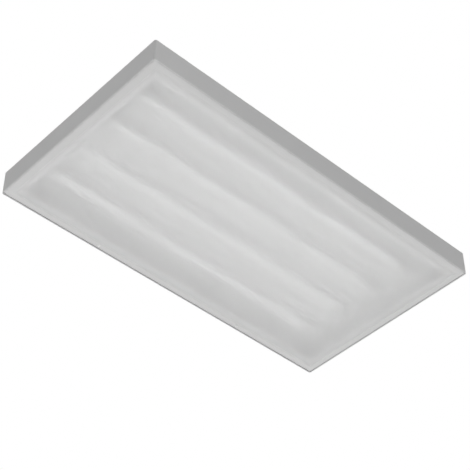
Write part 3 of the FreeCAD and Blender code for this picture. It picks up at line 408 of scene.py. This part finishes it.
# The screw heads are white-coated; this coat is lighter than the frame's to stand for the light their domes
# catch, and that extra lightness is painted light.
SCREW_COAT_PAINTED_LIGHT = Finish("screw_coat_painted_light", grey(0.84), Skin.SPRAYED, (0.32, 0.42), cloud=0.006, grain=0.0006)
OPAL = OpalSheet("opal_sheet", (0.968, 0.963, 0.92, 0.865, 0.77), (0.80, 0.10), (0.61, 0.65))
GLASS = LampGlass("lamp_glass", grey(0.93), (0.42, 0.41, 0.39), -0.0435, 0.455, 0.510)
CAP_METAL = Finish("cap_metal", (0.72, 0.72, 0.73), Skin.DRAWN, (0.28, 0.42), cloud=0.01, grain=0.0004,
                   relief=0.00002, metallic=1.0)
BRASS = Finish("pin_brass", (0.74, 0.57, 0.28), Skin.DRAWN, (0.25, 0.4), mottle=0.08, cloud=0.006,
               grain=0.0004, relief=0.00001, metallic=1.0)
ZINC = Finish("zinc_plate", (0.60, 0.61, 0.63), Skin.PLATED, (0.28, 0.46), mottle=0.08, cloud=0.008,
              grain=0.0009, relief=0.00002, metallic=1.0)
HOLDER_PLASTIC = Finish("holder_plastic", grey(0.72), Skin.MOULDED, (0.38, 0.5), cloud=0.02, grain=0.0007)
ROTOR_PLASTIC = Finish("rotor_plastic", (0.62, 0.62, 0.60), Skin.MOULDED, (0.42, 0.55), cloud=0.01,
                       grain=0.0007)
NYLON = Finish("washer_nylon", (0.72, 0.71, 0.68), Skin.MOULDED, (0.4, 0.55), cloud=0.004, grain=0.0006)
FOAM = Finish("seal_foam", grey(0.80), Skin.CELLULAR, (0.85, 0.95), mottle=0.06, cloud=0.01, grain=0.0009,
              relief=0.0002)
FIBRE = Finish("disc_fibre", (0.16, 0.11, 0.075), Skin.MOULDED, (0.55, 0.7), mottle=0.12, cloud=0.004,
               grain=0.0005)
RUBBER = Finish("bushing_rubber", (0.03, 0.03, 0.032), Skin.MOULDED, (0.6, 0.78), mottle=0.2, cloud=0.006,
                grain=0.0006)
TERMINAL_PLASTIC = Finish("terminal_plastic", (0.56, 0.58, 0.57), Skin.MOULDED, (0.4, 0.55), cloud=0.01,
                          grain=0.0006)
BUTTON_PLASTIC = Finish("button_plastic", (0.72, 0.22, 0.03), Skin.MOULDED, (0.35, 0.5), mottle=0.05,
                        cloud=0.004, grain=0.0006)
DRIVER_PLASTIC = Finish("driver_plastic", (0.64, 0.65, 0.66), Skin.MOULDED, (0.42, 0.55), cloud=0.02,
                        grain=0.0008, relief=0.00008)
CONNECTOR_PLASTIC = Finish("connector_plastic", (0.66, 0.65, 0.60), Skin.MOULDED, (0.4, 0.5), cloud=0.01)
COMPONENT_BLACK = Finish("component_black", (0.02, 0.02, 0.022), Skin.MOULDED, (0.35, 0.55), mottle=0.2,
                         cloud=0.006)
LINE_WIRE = Finish("line_insulation", (0.16, 0.06, 0.025), Skin.DRAWN, (0.36, 0.5), mottle=0.08, cloud=0.006)
NEUTRAL_WIRE = Finish("neutral_insulation", (0.03, 0.10, 0.42), Skin.DRAWN, (0.36, 0.5), mottle=0.08,
                      cloud=0.006)
LEAD_WIRE = Finish("lead_insulation", grey(0.70), Skin.DRAWN, (0.36, 0.5), cloud=0.02)
EARTH_WIRE = TwoToneInsulation("earth_insulation", (0.10, 0.32, 0.04), (0.72, 0.56, 0.03), -0.0245, 0.00105)
LAMINATE = Laminate("board_laminate", (0.02, 0.12, 0.05), (0.05, 0.22, 0.08), 0.012)

AnyFinish = Finish | OpalSheet | LampGlass | TwoToneInsulation | Laminate


class Dresser:
    """Gives the carried-over nodes their finishes, making each material once."""

    def __init__(self) -> None:
        """Start with no materials made."""
        self.made: dict[str, bpy.types.Material] = {}

    def material(self, finish: AnyFinish) -> bpy.types.Material:
        """Give the material of a finish."""
        if finish.name not in self.made:
            self.made[finish.name] = finish.make()
        return self.made[finish.name]

    def dress(self, finish: AnyFinish, *nodes: str) -> None:
        """Put a finish on nodes of the frame.

        Args:
            finish: The finish.
            nodes: Names of the nodes.
        """
        for name in nodes:
            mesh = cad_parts[name].data
            mesh.materials.clear()
            mesh.materials.append(self.material(finish))
            LOG.info("%s: %s", name, finish.name)


class Bench:
    """One piece at work: started from a primitive and shaped with Blender's own operators."""

    def __init__(self, name: str) -> None:
        """Clear the bench for a new piece.

        Args:
            name: Name of the piece.
        """
        self.name = name
        self.piece: bpy.types.Object | None = None
        bpy.ops.object.select_all(action="DESELECT")

    def begin(self) -> None:
        """Take the primitive just added, set its place into its mesh and open it with all selected."""
        self.piece = bpy.context.active_object
        self.piece.name = self.name
        bpy.ops.object.transform_apply(location=True, rotation=True, scale=True)
        self.open()

    def open(self) -> None:
        """Go into edit mode with the whole piece selected."""
        bpy.ops.object.mode_set(mode="EDIT")
        bpy.ops.mesh.select_mode(type="FACE")
        bpy.ops.mesh.select_all(action="SELECT")

    def close(self) -> None:
        """Go back to object mode with only this piece selected."""
        bpy.ops.object.mode_set(mode="OBJECT")
        bpy.ops.object.select_all(action="DESELECT")
        self.piece.select_set(True)
        bpy.context.view_layer.objects.active = self.piece

    def block(self, low: Rgb, high: Rgb) -> None:
        """Start from a box between two corners, in metres."""
        middle = tuple((a + b) / 2.0 for a, b in zip(low, high))
        size = tuple(b - a for a, b in zip(low, high))
        bpy.ops.mesh.primitive_cube_add(size=1.0, location=middle, scale=size)
        self.begin()

    def rod(self, radius: float, centre: Span, low: float, high: float, sides: int = 40) -> None:
        """Start from an upright round or many-sided bar.

        Args:
            radius: Radius over the corners.
            centre: Where its axis stands, x and y.
            low: Height of its lower end.
            high: Height of its upper end.
            sides: Number of sides.
        """
        bpy.ops.mesh.primitive_cylinder_add(vertices=sides, radius=radius, depth=high - low,
                                            location=(*centre, (low + high) / 2.0))
        self.begin()

    def lying_rod(self, radius: float, axis: Span, low: float, high: float, sides: int = 48) -> None:
        """Start from a round bar along X, with its axis at that y and z."""
        middle = (low + high) / 2.0
        bpy.ops.mesh.primitive_cylinder_add(vertices=sides, radius=radius, depth=high - low,
                                            location=(middle, *axis), rotation=(0.0, math.pi / 2.0, 0.0))
        self.begin()

    def thread(self, radius: float, pitch: float, centre: Span, low: float, high: float) -> None:
        """Start from a triangle, screw it up round an upright axis and cut both ends square.

        Args:
            radius: Radius over the crests.
            pitch: Rise of one turn.
            centre: Where the axis stands, x and y.
            low: Height of the lower end.
            high: Height of the upper end.
        """
        corner, flat = pitch / math.sqrt(3.0), 0.72
        start = (radius - flat * corner, 0.0, low - pitch)
        bpy.ops.mesh.primitive_circle_add(vertices=3, radius=corner, location=start,
                                          rotation=(math.pi / 2.0, math.pi / 2.0, 0.0))
        self.begin()
        bpy.ops.mesh.select_mode(type="VERT")
        bpy.ops.mesh.select_all(action="SELECT")
        bpy.ops.transform.resize(value=(flat, 1.0, 1.0), center_override=start)
        self.pick_edges(lambda a, b: max(a.x, b.x) < start[0])
        bpy.ops.mesh.delete(type="EDGE")
        self.close()
        bpy.ops.object.modifier_add(type="SCREW")
        turn = self.piece.modifiers[-1]
        turn.screw_offset = pitch
        turn.iterations = math.ceil((high - low) / pitch) + 3
        turn.steps = turn.render_steps = 18
        bpy.ops.object.modifier_apply(modifier=turn.name)
        self.open()
        bpy.ops.mesh.remove_doubles(threshold=0.000002)
        self.trim(low, True)
        self.trim(high, False)
        bpy.ops.mesh.select_all(action="SELECT")
        bpy.ops.mesh.normals_make_consistent(inside=False)
        bpy.ops.transform.translate(value=(*centre, 0.0))

    def trim(self, height: float, above: bool) -> None:
        """Cut the piece level at a height, close the cut and keep only what lies above it, or below it."""
        bpy.ops.mesh.select_all(action="SELECT")
        bpy.ops.mesh.bisect(plane_co=(0.0, 0.0, height), plane_no=(0.0, 0.0, 1.0), use_fill=True,
                            clear_inner=above, clear_outer=not above, threshold=KEEN)

    def score(self, place: Rgb, way: Rgb) -> None:
        """Cut edges into the whole piece where a plane through a place, square to a way, crosses it."""
        bpy.ops.mesh.select_all(action="SELECT")
        bpy.ops.mesh.bisect(plane_co=place, plane_no=way, threshold=KEEN)

    def pick_faces(self, test: Callable[[Vector, Vector], bool]) -> None:
        """Select the faces whose middle and normal pass a test."""
        bpy.ops.mesh.select_mode(type="FACE")
        bpy.ops.mesh.select_all(action="DESELECT")
        mesh = bmesh.from_edit_mesh(self.piece.data)
        for face in mesh.faces:
            face.select_set(test(face.calc_center_median(), face.normal))
        bmesh.update_edit_mesh(self.piece.data)

    def pick_edges(self, test: Callable[[Vector, Vector], bool]) -> None:
        """Select the edges whose two ends pass a test."""
        bpy.ops.mesh.select_mode(type="EDGE")
        bpy.ops.mesh.select_all(action="DESELECT")
        mesh = bmesh.from_edit_mesh(self.piece.data)
        for edge in mesh.edges:
            edge.select_set(test(edge.verts[0].co, edge.verts[1].co))
        bmesh.update_edit_mesh(self.piece.data)

    def shift(self, test: Callable[[Vector], bool], step: Rgb) -> None:
        """Move the corners whose place passes a test."""
        bpy.ops.mesh.select_mode(type="VERT")
        bpy.ops.mesh.select_all(action="DESELECT")
        mesh = bmesh.from_edit_mesh(self.piece.data)
        for vertex in mesh.verts:
            vertex.select_set(test(vertex.co))
        bmesh.update_edit_mesh(self.piece.data)
        bpy.ops.transform.translate(value=step)

    def pull(self, step: Rgb) -> None:
        """Extrude the selected faces by a step."""
        bpy.ops.mesh.extrude_region_move(TRANSFORM_OT_translate={"value": step})

    def open_lip(self, height: float, inward: Rgb, width: float) -> None:
        """Turn the lowest part of a strip inwards.

        Args:
            height: Height of the lip's upper face.
            inward: Way that the lip goes.
            width: How far it goes.
        """
        self.score((0.0, 0.0, height), (0.0, 0.0, 1.0))
        way = Vector(inward)
        self.pick_faces(lambda middle, normal: middle.z < height and normal.dot(way) > 0.7)
        self.pull(tuple(width * way))

    def pierce(self) -> None:
        """Take out the selected faces on two opposite sides and wall the hole between them."""
        bpy.ops.mesh.delete(type="FACE")
        bpy.ops.mesh.select_mode(type="EDGE")
        bpy.ops.mesh.select_all(action="DESELECT")
        bpy.ops.mesh.select_non_manifold()
        bpy.ops.mesh.bridge_edge_loops()

    def combine(self, tool: "Bench", operation: str) -> None:
        """Cut this piece with another, or keep what both share, and clear the other away."""
        tool.close()
        self.close()
        bpy.ops.object.modifier_add(type="BOOLEAN")
        cut = self.piece.modifiers[-1]
        cut.operation = operation
        cut.object = tool.piece
        bpy.ops.object.modifier_apply(modifier=cut.name)
        bpy.data.objects.remove(tool.piece)
        self.open()

    def spread(self, *steps: Rgb) -> None:
        """Copy the whole piece along, each step from the copy before."""
        bpy.ops.mesh.select_all(action="SELECT")
        for step in steps:
            bpy.ops.mesh.duplicate_move(TRANSFORM_OT_translate={"value": step})

    def join(self, *others: "Bench") -> None:
        """Take other pieces into this one."""
        self.close()
        for other in others:
            other.piece.select_set(True)
        bpy.ops.object.join()
        self.open()

    def twin(self, name: str, step: Rgb) -> "Bench":
        """Copy the piece with a mesh of its own.

        Args:
            name: Name of the copy.
            step: How far it is moved.

        Returns:
            The copy, open on the bench.
        """
        other = Bench(name)
        other.piece = self.piece.copy()
        other.piece.data = self.piece.data.copy()
        other.piece.name = name
        bpy.context.collection.objects.link(other.piece)
        other.close()
        other.open()
        bpy.ops.transform.translate(value=step)
        other.close()
        return other

    def finish(self, material: bpy.types.Material, body: str, *nodes: str) -> None:
        """Smooth the piece, give it its material and its body, and let it stand for nodes.

        Args:
            material: Its material.
            body: Body that it moves with.
            nodes: Nodes of the frame that it replaces.
        """
        self.close()
        bpy.ops.object.shade_smooth_by_angle(angle=math.radians(32.0))
        if not self.piece.data.materials:
            self.piece.data.materials.append(material)
        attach(self.piece, body)
        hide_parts(*nodes)
        LOG.info("%s: modelled, on %s", self.name, body)


def nut(name: str, flats: float, bore: float, centre: Span, low: float, high: float) -> Bench:
    """Model an upright hexagon nut with turned corners and a countersunk bore.

    Args:
        name: Name of the piece.
        flats: Width over the flats.
        bore: Radius of the bore.
        centre: Where its axis stands, x and y.
        low: Height of its lower face.
        high: Height of its upper face.

    Returns:
        The nut, open on the bench.
    """
    rounding = Bench(name + "_rounding")
    reach, turned, sink = 0.585 * flats, 0.12 * flats, 0.16 * bore
    rounding.rod(reach, centre, low, high)
    rounding.pick_edges(lambda a, b: abs(a.z - b.z) < LEVEL)
    bpy.ops.mesh.bevel(offset=turned, segments=2, affect="EDGES")
    rounding.close()
    body = Bench(name)
    body.rod(0.5 * flats / math.cos(math.pi / 6.0), centre, low - bore, high + bore, 6)
    body.combine(rounding, "INTERSECT")
    bpy.ops.mesh.remove_doubles(threshold=2.0 * LEVEL)
    body.pick_faces(lambda middle, normal: abs(normal.z) > 0.99)
    bpy.ops.mesh.inset(thickness=reach - turned - bore, use_even_offset=False)
    body.pierce()
    axis = Vector((*centre, 0.0))

    def on_rim(a: Vector, b: Vector) -> bool:
        """Tell whether an edge lies level on the rim of the bore."""
        return abs(a.z - b.z) < LEVEL and max((p - axis).xy.length for p in (a, b)) < 1.1 * bore

    body.pick_edges(on_rim)
    bpy.ops.mesh.bevel(offset=sink, segments=1, affect="EDGES")
    return body


@dataclass
class Housing:
    """Folded steel box with its weld nuts, bushing, screw brackets and hinge pins."""

    coat: Finish = BOX_COAT_PAINTED_LIGHT
    metal: Finish = ZINC
    nut_x: float = 0.269
    nut_y: float = 0.311
    nut_flats: float = 0.008
    nut_bore: float = 0.0021
    nut_heights: Span = (-0.062, -0.0585)

    def build(self, dresser: Dresser) -> None:
        """Model the two nuts on the screw brackets."""
        nuts = nut("bracket_nuts_cut", self.nut_flats, self.nut_bore, (-self.nut_x, self.nut_y),
                   *self.nut_heights)
        nuts.spread((2.0 * self.nut_x, 0.0, 0.0))
        nuts.finish(dresser.material(self.metal), "housing", "bracket_nuts")

    def dress(self, dresser: Dresser) -> None:
        """Finish the housing and what is fixed to it."""
        dresser.dress(self.coat, "housing")
        dresser.dress(self.metal, "suspension_nuts", "screw_brackets", "hinge_pins", "hinge_rings")
        dresser.dress(RUBBER, "cable_bushing")
        dresser.dress(NYLON, "hinge_washers")


@dataclass
class Cover:
    """Hinged frame with the opal sheet, its seal, clips and captive screws."""

    coat: Finish = WHITE_COAT
    sheet: OpalSheet = OPAL
    seal_half: Span = (0.580, 0.305)
    seal_corner: float = 0.006
    seal_heights: Span = (-0.077, -0.076)
    seal_width: float = 0.00403
    lip_width: float = 0.0005
    lip_drop: float = 0.0008
    screw_x: float = 0.269
    screw_y: float = 0.311
    head_radius: float = 0.00425
    head_heights: Span = (-0.0798, -0.078)
    head_dome: float = 0.0009
    neck_radius: float = 0.002
    neck_top: float = -0.0685
    screw_top: float = -0.0575
    slot: Span = (0.0011, 0.001)
    slot_reach: float = 0.006
    pitch: float = 0.0007
    core_inset: float = 0.0006
    core_length: float = 0.001

    def build_seal(self, dresser: Dresser) -> None:
        """Model the foam ring, with a lip that fills the gap between rim and sheet."""
        across, along = self.seal_half
        low, high = self.seal_heights
        seal = Bench("diffuser_seal_lipped")
        seal.block((-across, -along, low), (across, along, high))
        seal.pick_edges(lambda a, b: abs(a.z - b.z) > 0.5 * (high - low))
        bpy.ops.mesh.bevel(offset=self.seal_corner, segments=4, affect="EDGES")
        seal.pick_faces(lambda middle, normal: abs(normal.z) > 0.9)
        bpy.ops.mesh.inset(thickness=self.seal_width)
        bpy.ops.mesh.inset(thickness=self.lip_width)
        seal.pierce()
        inner_x, inner_y = across - self.seal_width, along - self.seal_width
        seal.pick_faces(lambda middle, normal: normal.z < -0.9 and abs(middle.x) < inner_x
                        and abs(middle.y) < inner_y)
        seal.pull((0.0, 0.0, -self.lip_drop))
        seal.finish(dresser.material(FOAM), "cover", "diffuser_seal")

    def build_screws(self, dresser: Dresser) -> None:
        """Model one captive screw with a domed slotted head, a plain neck and a threaded end, and copy it."""
        low, high = self.head_heights
        centre = (-self.screw_x, self.screw_y)
        screw = Bench("cover_screw_near_cut")
        screw.rod(self.head_radius, centre, low, high)
        screw.pick_edges(lambda a, b: max(a.z, b.z) < low + LEVEL)
        bpy.ops.mesh.bevel(offset=self.head_dome, segments=5, affect="EDGES")
        screw.pick_faces(lambda middle, normal: normal.z > 0.9)
        bpy.ops.mesh.inset(thickness=self.head_radius - self.neck_radius)
        screw.pull((0.0, 0.0, self.neck_top - high))
        bpy.ops.mesh.inset(thickness=self.core_inset)
        screw.pull((0.0, 0.0, self.core_length))
        screw.close()
        width, depth = self.slot
        blade = Bench("slot_cutter")
        blade.block((centre[0] - self.slot_reach, centre[1] - width / 2.0, low - depth),
                    (centre[0] + self.slot_reach, centre[1] + width / 2.0, low + depth))
        screw.combine(blade, "DIFFERENCE")
        screw.close()
        end = Bench("screw_thread")
        end.thread(self.neck_radius, self.pitch, centre, self.neck_top, self.screw_top)
        end.close()
        screw.join(end)
        screw.close()
        far = screw.twin("cover_screw_far_cut", (2.0 * self.screw_x, 0.0, 0.0))
        far.finish(dresser.material(SCREW_COAT_PAINTED_LIGHT), "cover_screw_far", "cover_screw_far")
        screw.finish(dresser.material(SCREW_COAT_PAINTED_LIGHT), "cover_screw_near", "cover_screw_near")

    def build(self, dresser: Dresser) -> None:
        """Model the seal and the two screws."""
        self.build_seal(dresser)
        self.build_screws(dresser)

    def dress(self, dresser: Dresser) -> None:
        """Finish the cover."""
        dresser.dress(self.coat, "cover_frame")
        dresser.dress(self.sheet, "diffuser")
        dresser.dress(ZINC, "diffuser_clips")
        dresser.dress(NYLON, "screw_retainers")


@dataclass
class LampSet:
    """The four tubular lamps and their holders."""

    count: int = 4
    first_y: float = -0.192
    pitch_y: float = 0.128
    axis_z: float = -0.040
    ends: Span = (-0.567, 0.480)
    cap_radius: float = 0.013
    cap_length: float = 0.014
    cap_round: float = 0.0012
    cap_end: float = 0.0015
    mouth_radius: float = 0.0126
    crimp_at: float = 0.0105
    crimp_half: float = 0.0012
    crimp_share: float = 0.985
    disc_radius: float = 0.0096
    disc_depth: float = 0.0003

    def build(self, dresser: Dresser) -> None:
        """Model one pair of caps with a rolled crimp and a sunk insulating disc, and copy it to each lamp."""
        low, high = self.ends
        axis = (self.first_y, self.axis_z)
        caps = Bench("lamp_1_caps_crimped")
        caps.lying_rod(self.cap_radius, axis, low, low + self.cap_length)
        caps.pick_edges(lambda a, b: max(a.x, b.x) < low + LEVEL)
        bpy.ops.mesh.bevel(offset=self.cap_round, segments=4, affect="EDGES")
        groove = low + self.crimp_at
        for offset in (-self.crimp_half, 0.0, self.crimp_half):
            caps.score((groove + offset, 0.0, 0.0), (1.0, 0.0, 0.0))
        caps.pick_edges(lambda a, b: abs(a.x - groove) < LEVEL and abs(b.x - groove) < LEVEL)
        bpy.ops.transform.resize(value=(1.0, self.crimp_share, self.crimp_share),
                                 center_override=(groove, *axis))
        caps.pick_faces(lambda middle, normal: normal.x > 0.9)
        bpy.ops.mesh.inset(thickness=self.cap_radius - self.mouth_radius)
        caps.pull((self.cap_end - self.cap_length, 0.0, 0.0))
        caps.pick_faces(lambda middle, normal: normal.x < -0.99)
        bpy.ops.mesh.inset(thickness=self.cap_radius - self.cap_round - self.disc_radius)
        caps.pull((self.disc_depth, 0.0, 0.0))
        bpy.ops.mesh.select_all(action="SELECT")
        bpy.ops.mesh.duplicate()
        bpy.ops.transform.rotate(value=math.pi, orient_axis="Z", center_override=((low + high) / 2.0, *axis))
        caps.close()
        for finish in (CAP_METAL, FIBRE):
            caps.piece.data.materials.append(dresser.material(finish))
        sunk = self.disc_depth / 2.0
        for face in caps.piece.data.polygons:
            outer = min(face.center.x - low, high - face.center.x)
            if abs(face.normal.x) > 0.99 and sunk < outer < 3.0 * sunk:
                face.material_index = 1
        twins = [caps.twin(f"lamp_{number}_caps_crimped", (0.0, self.pitch_y * (number - 1), 0.0))
                 for number in range(2, self.count + 1)]
        for number, pair in enumerate([caps, *twins], start=1):
            pair.finish(dresser.material(CAP_METAL), f"lamp_{number}", f"lamp_{number}_caps")

    def dress(self, dresser: Dresser) -> None:
        """Finish the lamps and holders."""
        dresser.dress(HOLDER_PLASTIC, "near_lampholders", "far_lampholders")
        for number in range(1, self.count + 1):
            dresser.dress(GLASS, f"lamp_{number}_tube")
            dresser.dress(BRASS, f"lamp_{number}_pins")
            dresser.dress(ROTOR_PLASTIC, f"lamp_{number}_rotors")


@dataclass
class GearTray:
    """Reflector tray with the gear cover, terminal, driver and wires."""

    poles: tuple[str, ...] = ("line", "neutral", "earth")
    tray_x: Span = (-0.5948, 0.5658)
    tray_y: float = 0.2998
    sheet: float = 0.0008
    skirt_top: float = -0.016
    skirt_low: float = -0.072
    short_low: float = -0.062
    hinge_lean: float = 0.002
    screw_lean: float = 0.005
    far_lean: float = 0.025
    corner_gap: float = 0.0008
    lip: float = 0.012
    stud_x: float = 0.350
    stud_y: float = 0.128
    stud_radius: float = 0.002
    stud_heights: Span = (-0.024, -0.0012)
    thread_top: float = -0.0145
    nut_flats: float = 0.009
    nut_heights: Span = (-0.020, -0.016)
    nut_clearance: float = 0.00005
    pitch: float = 0.0007
    core_inset: float = 0.0006
    core_length: float = 0.001

    def build_skirts(self, dresser: Dresser) -> None:
        """Model the four strips below the tray; the two on the far sides end in a lip."""
        x0, x1 = self.tray_x
        y1, sheet, top, low = self.tray_y, self.sheet, self.skirt_top, self.skirt_low
        part = (top - self.short_low) / (top - low)
        middle_z = -0.04
        near = Bench("tray_skirts_lipped")
        near.block((x0, -y1, self.short_low), (x0 + sheet, y1, top))
        near.shift(lambda p: p.z < middle_z and p.y < 0.0, (0.0, -part * self.hinge_lean, 0.0))
        near.shift(lambda p: p.z < middle_z and p.y > 0.0, (0.0, part * self.screw_lean, 0.0))
        near.close()
        hinge = Bench("hinge_strip")
        hinge.block((x0 + sheet, -y1, self.short_low), (x1, sheet - y1, top))
        hinge.shift(lambda p: p.z < middle_z, (0.0, -part * self.hinge_lean, 0.0))
        hinge.shift(lambda p: p.z < middle_z and p.x > 0.0, (part * self.far_lean, 0.0, 0.0))
        hinge.close()
        screw = Bench("screw_strip")
        screw.block((x0 + sheet, y1 - sheet, low), (x1, y1, top))
        screw.shift(lambda p: p.z < middle_z, (0.0, self.screw_lean, 0.0))
        screw.shift(lambda p: p.z < middle_z and p.x > 0.0, (self.far_lean, 0.0, 0.0))
        screw.open_lip(low + sheet, (0.0, -1.0, 0.0), self.lip)
        screw.shift(lambda p: p.z < middle_z and p.x > 0.0 and p.y < y1, (-self.lip, 0.0, 0.0))
        screw.close()
        far = Bench("far_strip")
        far.block((x1 - sheet, sheet + self.corner_gap - y1, low), (x1, y1 - sheet, top))
        far.shift(lambda p: p.z < middle_z, (self.far_lean, 0.0, 0.0))
        far.shift(lambda p: p.z < middle_z and p.y > 0.0, (0.0, self.screw_lean, 0.0))
        far.open_lip(low + sheet, (-1.0, 0.0, 0.0), self.lip)
        edge = x1 + self.far_lean - 0.7 * self.lip
        far.shift(lambda p: p.z < middle_z and p.y > 0.0 and p.x < edge, (0.0, -self.lip, 0.0))
        far.close()
        near.join(hinge, screw, far)
        near.finish(dresser.material(REFLECTOR_COAT), "housing", "tray_skirts")

    def build_fixings(self, dresser: Dresser) -> None:
        """Model one threaded stud and one nut, and copy them to the four places."""
        centre = (-self.stud_x, -self.stud_y)
        along, across = 2.0 * self.stud_x, 2.0 * self.stud_y
        places = ((along, 0.0, 0.0), (0.0, across, 0.0), (-along, 0.0, 0.0))
        low, high = self.stud_heights
        stem = Bench("tray_studs_threaded")
        stem.rod(self.stud_radius, centre, self.thread_top, high)
        stem.pick_faces(lambda middle, normal: normal.z < -0.9)
        bpy.ops.mesh.inset(thickness=self.core_inset)
        stem.pull((0.0, 0.0, -self.core_length))
        stem.close()
        end = Bench("stud_thread")
        end.thread(self.stud_radius, self.pitch, centre, low, self.thread_top)
        end.close()
        stem.join(end)
        stem.spread(*places)
        stem.finish(dresser.material(ZINC), "housing", "tray_studs")
        bore = self.stud_radius + self.nut_clearance
        nuts = nut("tray_nuts_cut", self.nut_flats, bore, centre, *self.nut_heights)
        nuts.spread(*places)
        nuts.finish(dresser.material(ZINC), "housing", "tray_nuts")

    def build(self, dresser: Dresser) -> None:
        """Model the skirts and the tray's fixings."""
        self.build_skirts(dresser)
        self.build_fixings(dresser)

    def dress(self, dresser: Dresser) -> None:
        """Finish the tray and the gear on it."""
        dresser.dress(REFLECTOR_COAT, "reflector_tray")
        dresser.dress(WHITE_COAT, "gear_cover")
        dresser.dress(ZINC, "gear_screws", "earth_stud", "earth_nut", "earth_lug")
        dresser.dress(TERMINAL_PLASTIC, "terminal_block")
        dresser.dress(BRASS, "terminal_clamps")
        dresser.dress(BUTTON_PLASTIC, *(f"terminal_button_{pole}" for pole in self.poles))
        dresser.dress(DRIVER_PLASTIC, "driver_base", "driver_lid")
        dresser.dress(LAMINATE, "driver_board")
        dresser.dress(CONNECTOR_PLASTIC, "driver_connectors")
        dresser.dress(COMPONENT_BLACK, "driver_parts")
        dresser.dress(LINE_WIRE, "line_wire")
        dresser.dress(NEUTRAL_WIRE, "neutral_wire")
        dresser.dress(EARTH_WIRE, "earth_wire")
        dresser.dress(LEAD_WIRE, "lamp_leads")


@dataclass
class SoftLight:
    """A large square lamp."""

    name: str
    place: Rgb
    aim: Rgb
    side: float
    watts: float

    def build(self) -> None:
        """Hang the lamp."""
        lamp = bpy.data.lights.new(self.name, "AREA")
        lamp.size = self.side
        lamp.energy = self.watts
        holder = bpy.data.objects.new(self.name, lamp)
        holder.location = self.place
        holder.rotation_euler = (Vector(self.aim) - Vector(self.place)).to_track_quat("-Z", "Y").to_euler()
        holder.visible_camera = False
        holder.visible_transmission = False
        bpy.context.collection.objects.link(holder)


@dataclass
class Studio:
    """Plain white room: even light, large soft lamps below the four sides, one above, and a pale floor."""

    room_level: float = 0.10
    floor_drop: float = 5.6
    floor_side: float = 40.0
    floor_tone: Rgb = (0.80, 0.80, 0.79)
    floor_glow: float = 0.95

    def seen_directly(self, nodes: bpy.types.Nodes, links: bpy.types.NodeLinks) -> bpy.types.NodeSocket:
        """Tell the rays that show the surroundings from those that light the object.

        Args:
            nodes: Nodes of the tree that needs it.
            links: Links of the same tree.

        Returns:
            1 for camera, glossy and transmission rays, else 0.
        """
        path = nodes.new("ShaderNodeLightPath")
        seen = path.outputs["Is Camera Ray"]
        for name in ("Is Glossy Ray", "Is Transmission Ray"):
            either = nodes.new("ShaderNodeMath")
            either.operation = "MAXIMUM"
            links.new(seen, either.inputs[0])
            links.new(path.outputs[name], either.inputs[1])
            seen = either.outputs[0]
        return seen

    def build_room(self) -> None:
        """Light the room evenly and show it white."""
        world = bpy.data.worlds.new("studio_room")
        bpy.context.scene.world = world
        world.use_nodes = True
        nodes, links = world.node_tree.nodes, world.node_tree.links
        nodes.clear()
        light = nodes.new("ShaderNodeBackground")
        light.inputs["Color"].default_value = (1.0, 1.0, 1.0, 1.0)
        light.inputs["Strength"].default_value = self.room_level
        shown = nodes.new("ShaderNodeBackground")
        shown.inputs["Color"].default_value = (1.0, 1.0, 1.0, 1.0)
        shown.inputs["Strength"].default_value = 1.0
        mix = nodes.new("ShaderNodeMixShader")
        links.new(self.seen_directly(nodes, links), mix.inputs["Fac"])
        links.new(light.outputs["Background"], mix.inputs[1])
        links.new(shown.outputs["Background"], mix.inputs[2])
        links.new(mix.outputs["Shader"], nodes.new("ShaderNodeOutputWorld").inputs["Surface"])

    def build_floor(self) -> None:
        """Lay the floor far below, where it never hides the luminaire."""
        bpy.ops.object.select_all(action="DESELECT")
        bpy.ops.mesh.primitive_plane_add(size=self.floor_side, location=(0.0, 0.0, -self.floor_drop))
        floor = bpy.context.active_object
        floor.name = "studio_floor"
        board = ShaderBoard("studio_floor")
        board.fix(Base_Color=self.floor_tone, Roughness=0.9, Emission_Color=(1.0, 1.0, 1.0))
        seen = self.seen_directly(board.nodes, board.links)
        board.wire(board.maths("MULTIPLY", seen, self.floor_glow), "Emission Strength")
        floor.data.materials.append(board.material)

    def build(self) -> None:
        """Set up room, floor and lamps."""
        self.build_room()
        self.build_floor()
        middle = (0.0, 0.0, -0.04)
        SoftLight("lamp_screw_side", (-1.8, 4.8, -3.0), middle, 6.0, 252.0).build()
        SoftLight("lamp_hinge_side", (0.0, -5.0, -3.4), middle, 6.0, 148.0).build()
        SoftLight("lamp_far_end", (4.8, 2.0, -3.0), middle, 6.0, 92.0).build()
        SoftLight("lamp_near_end", (-3.6, -3.0, -0.6), middle, 3.0, 46.0).build()
        SoftLight("lamp_above", (0.8, 1.0, 2.8), middle, 2.4, 60.0).build()


@dataclass
class Viewpoint:
    """Camera below the near corner, looking up at the diffuser."""

    place: Rgb = (-1.9758, -2.0991, -2.7698)
    forward: Rgb = (0.49773, 0.53561, 0.68219)
    right: Rgb = (0.73424, -0.67888, -0.00268)
    lens: float = 106.25
    sensor: float = 36.0

    def build(self) -> None:
        """Place the camera and make it the scene's."""
        data = bpy.data.cameras.new("viewpoint")
        data.sensor_width = self.sensor
        data.lens = self.lens
        camera = bpy.data.objects.new("viewpoint", data)
        back = -Vector(self.forward).normalized()
        right = Vector(self.right).normalized()
        up = back.cross(right).normalized()
        camera.matrix_world = Matrix((right, up, back)).transposed().to_4x4()
        camera.location = self.place
        bpy.context.collection.objects.link(camera)
        bpy.context.scene.camera = camera


def main() -> None:
    """Dress the luminaire and set up its studio."""
    logging.basicConfig(level=logging.INFO, format="%(name)s: %(message)s")
    bpy.context.scene.view_settings.view_transform = "Standard"
    dresser = Dresser()
    for assembly in (Housing(), GearTray(), LampSet(), Cover()):
        assembly.build(dresser)
        assembly.dress(dresser)
    Studio().build()
    Viewpoint().build()


if __name__ == "__main__":
    main()
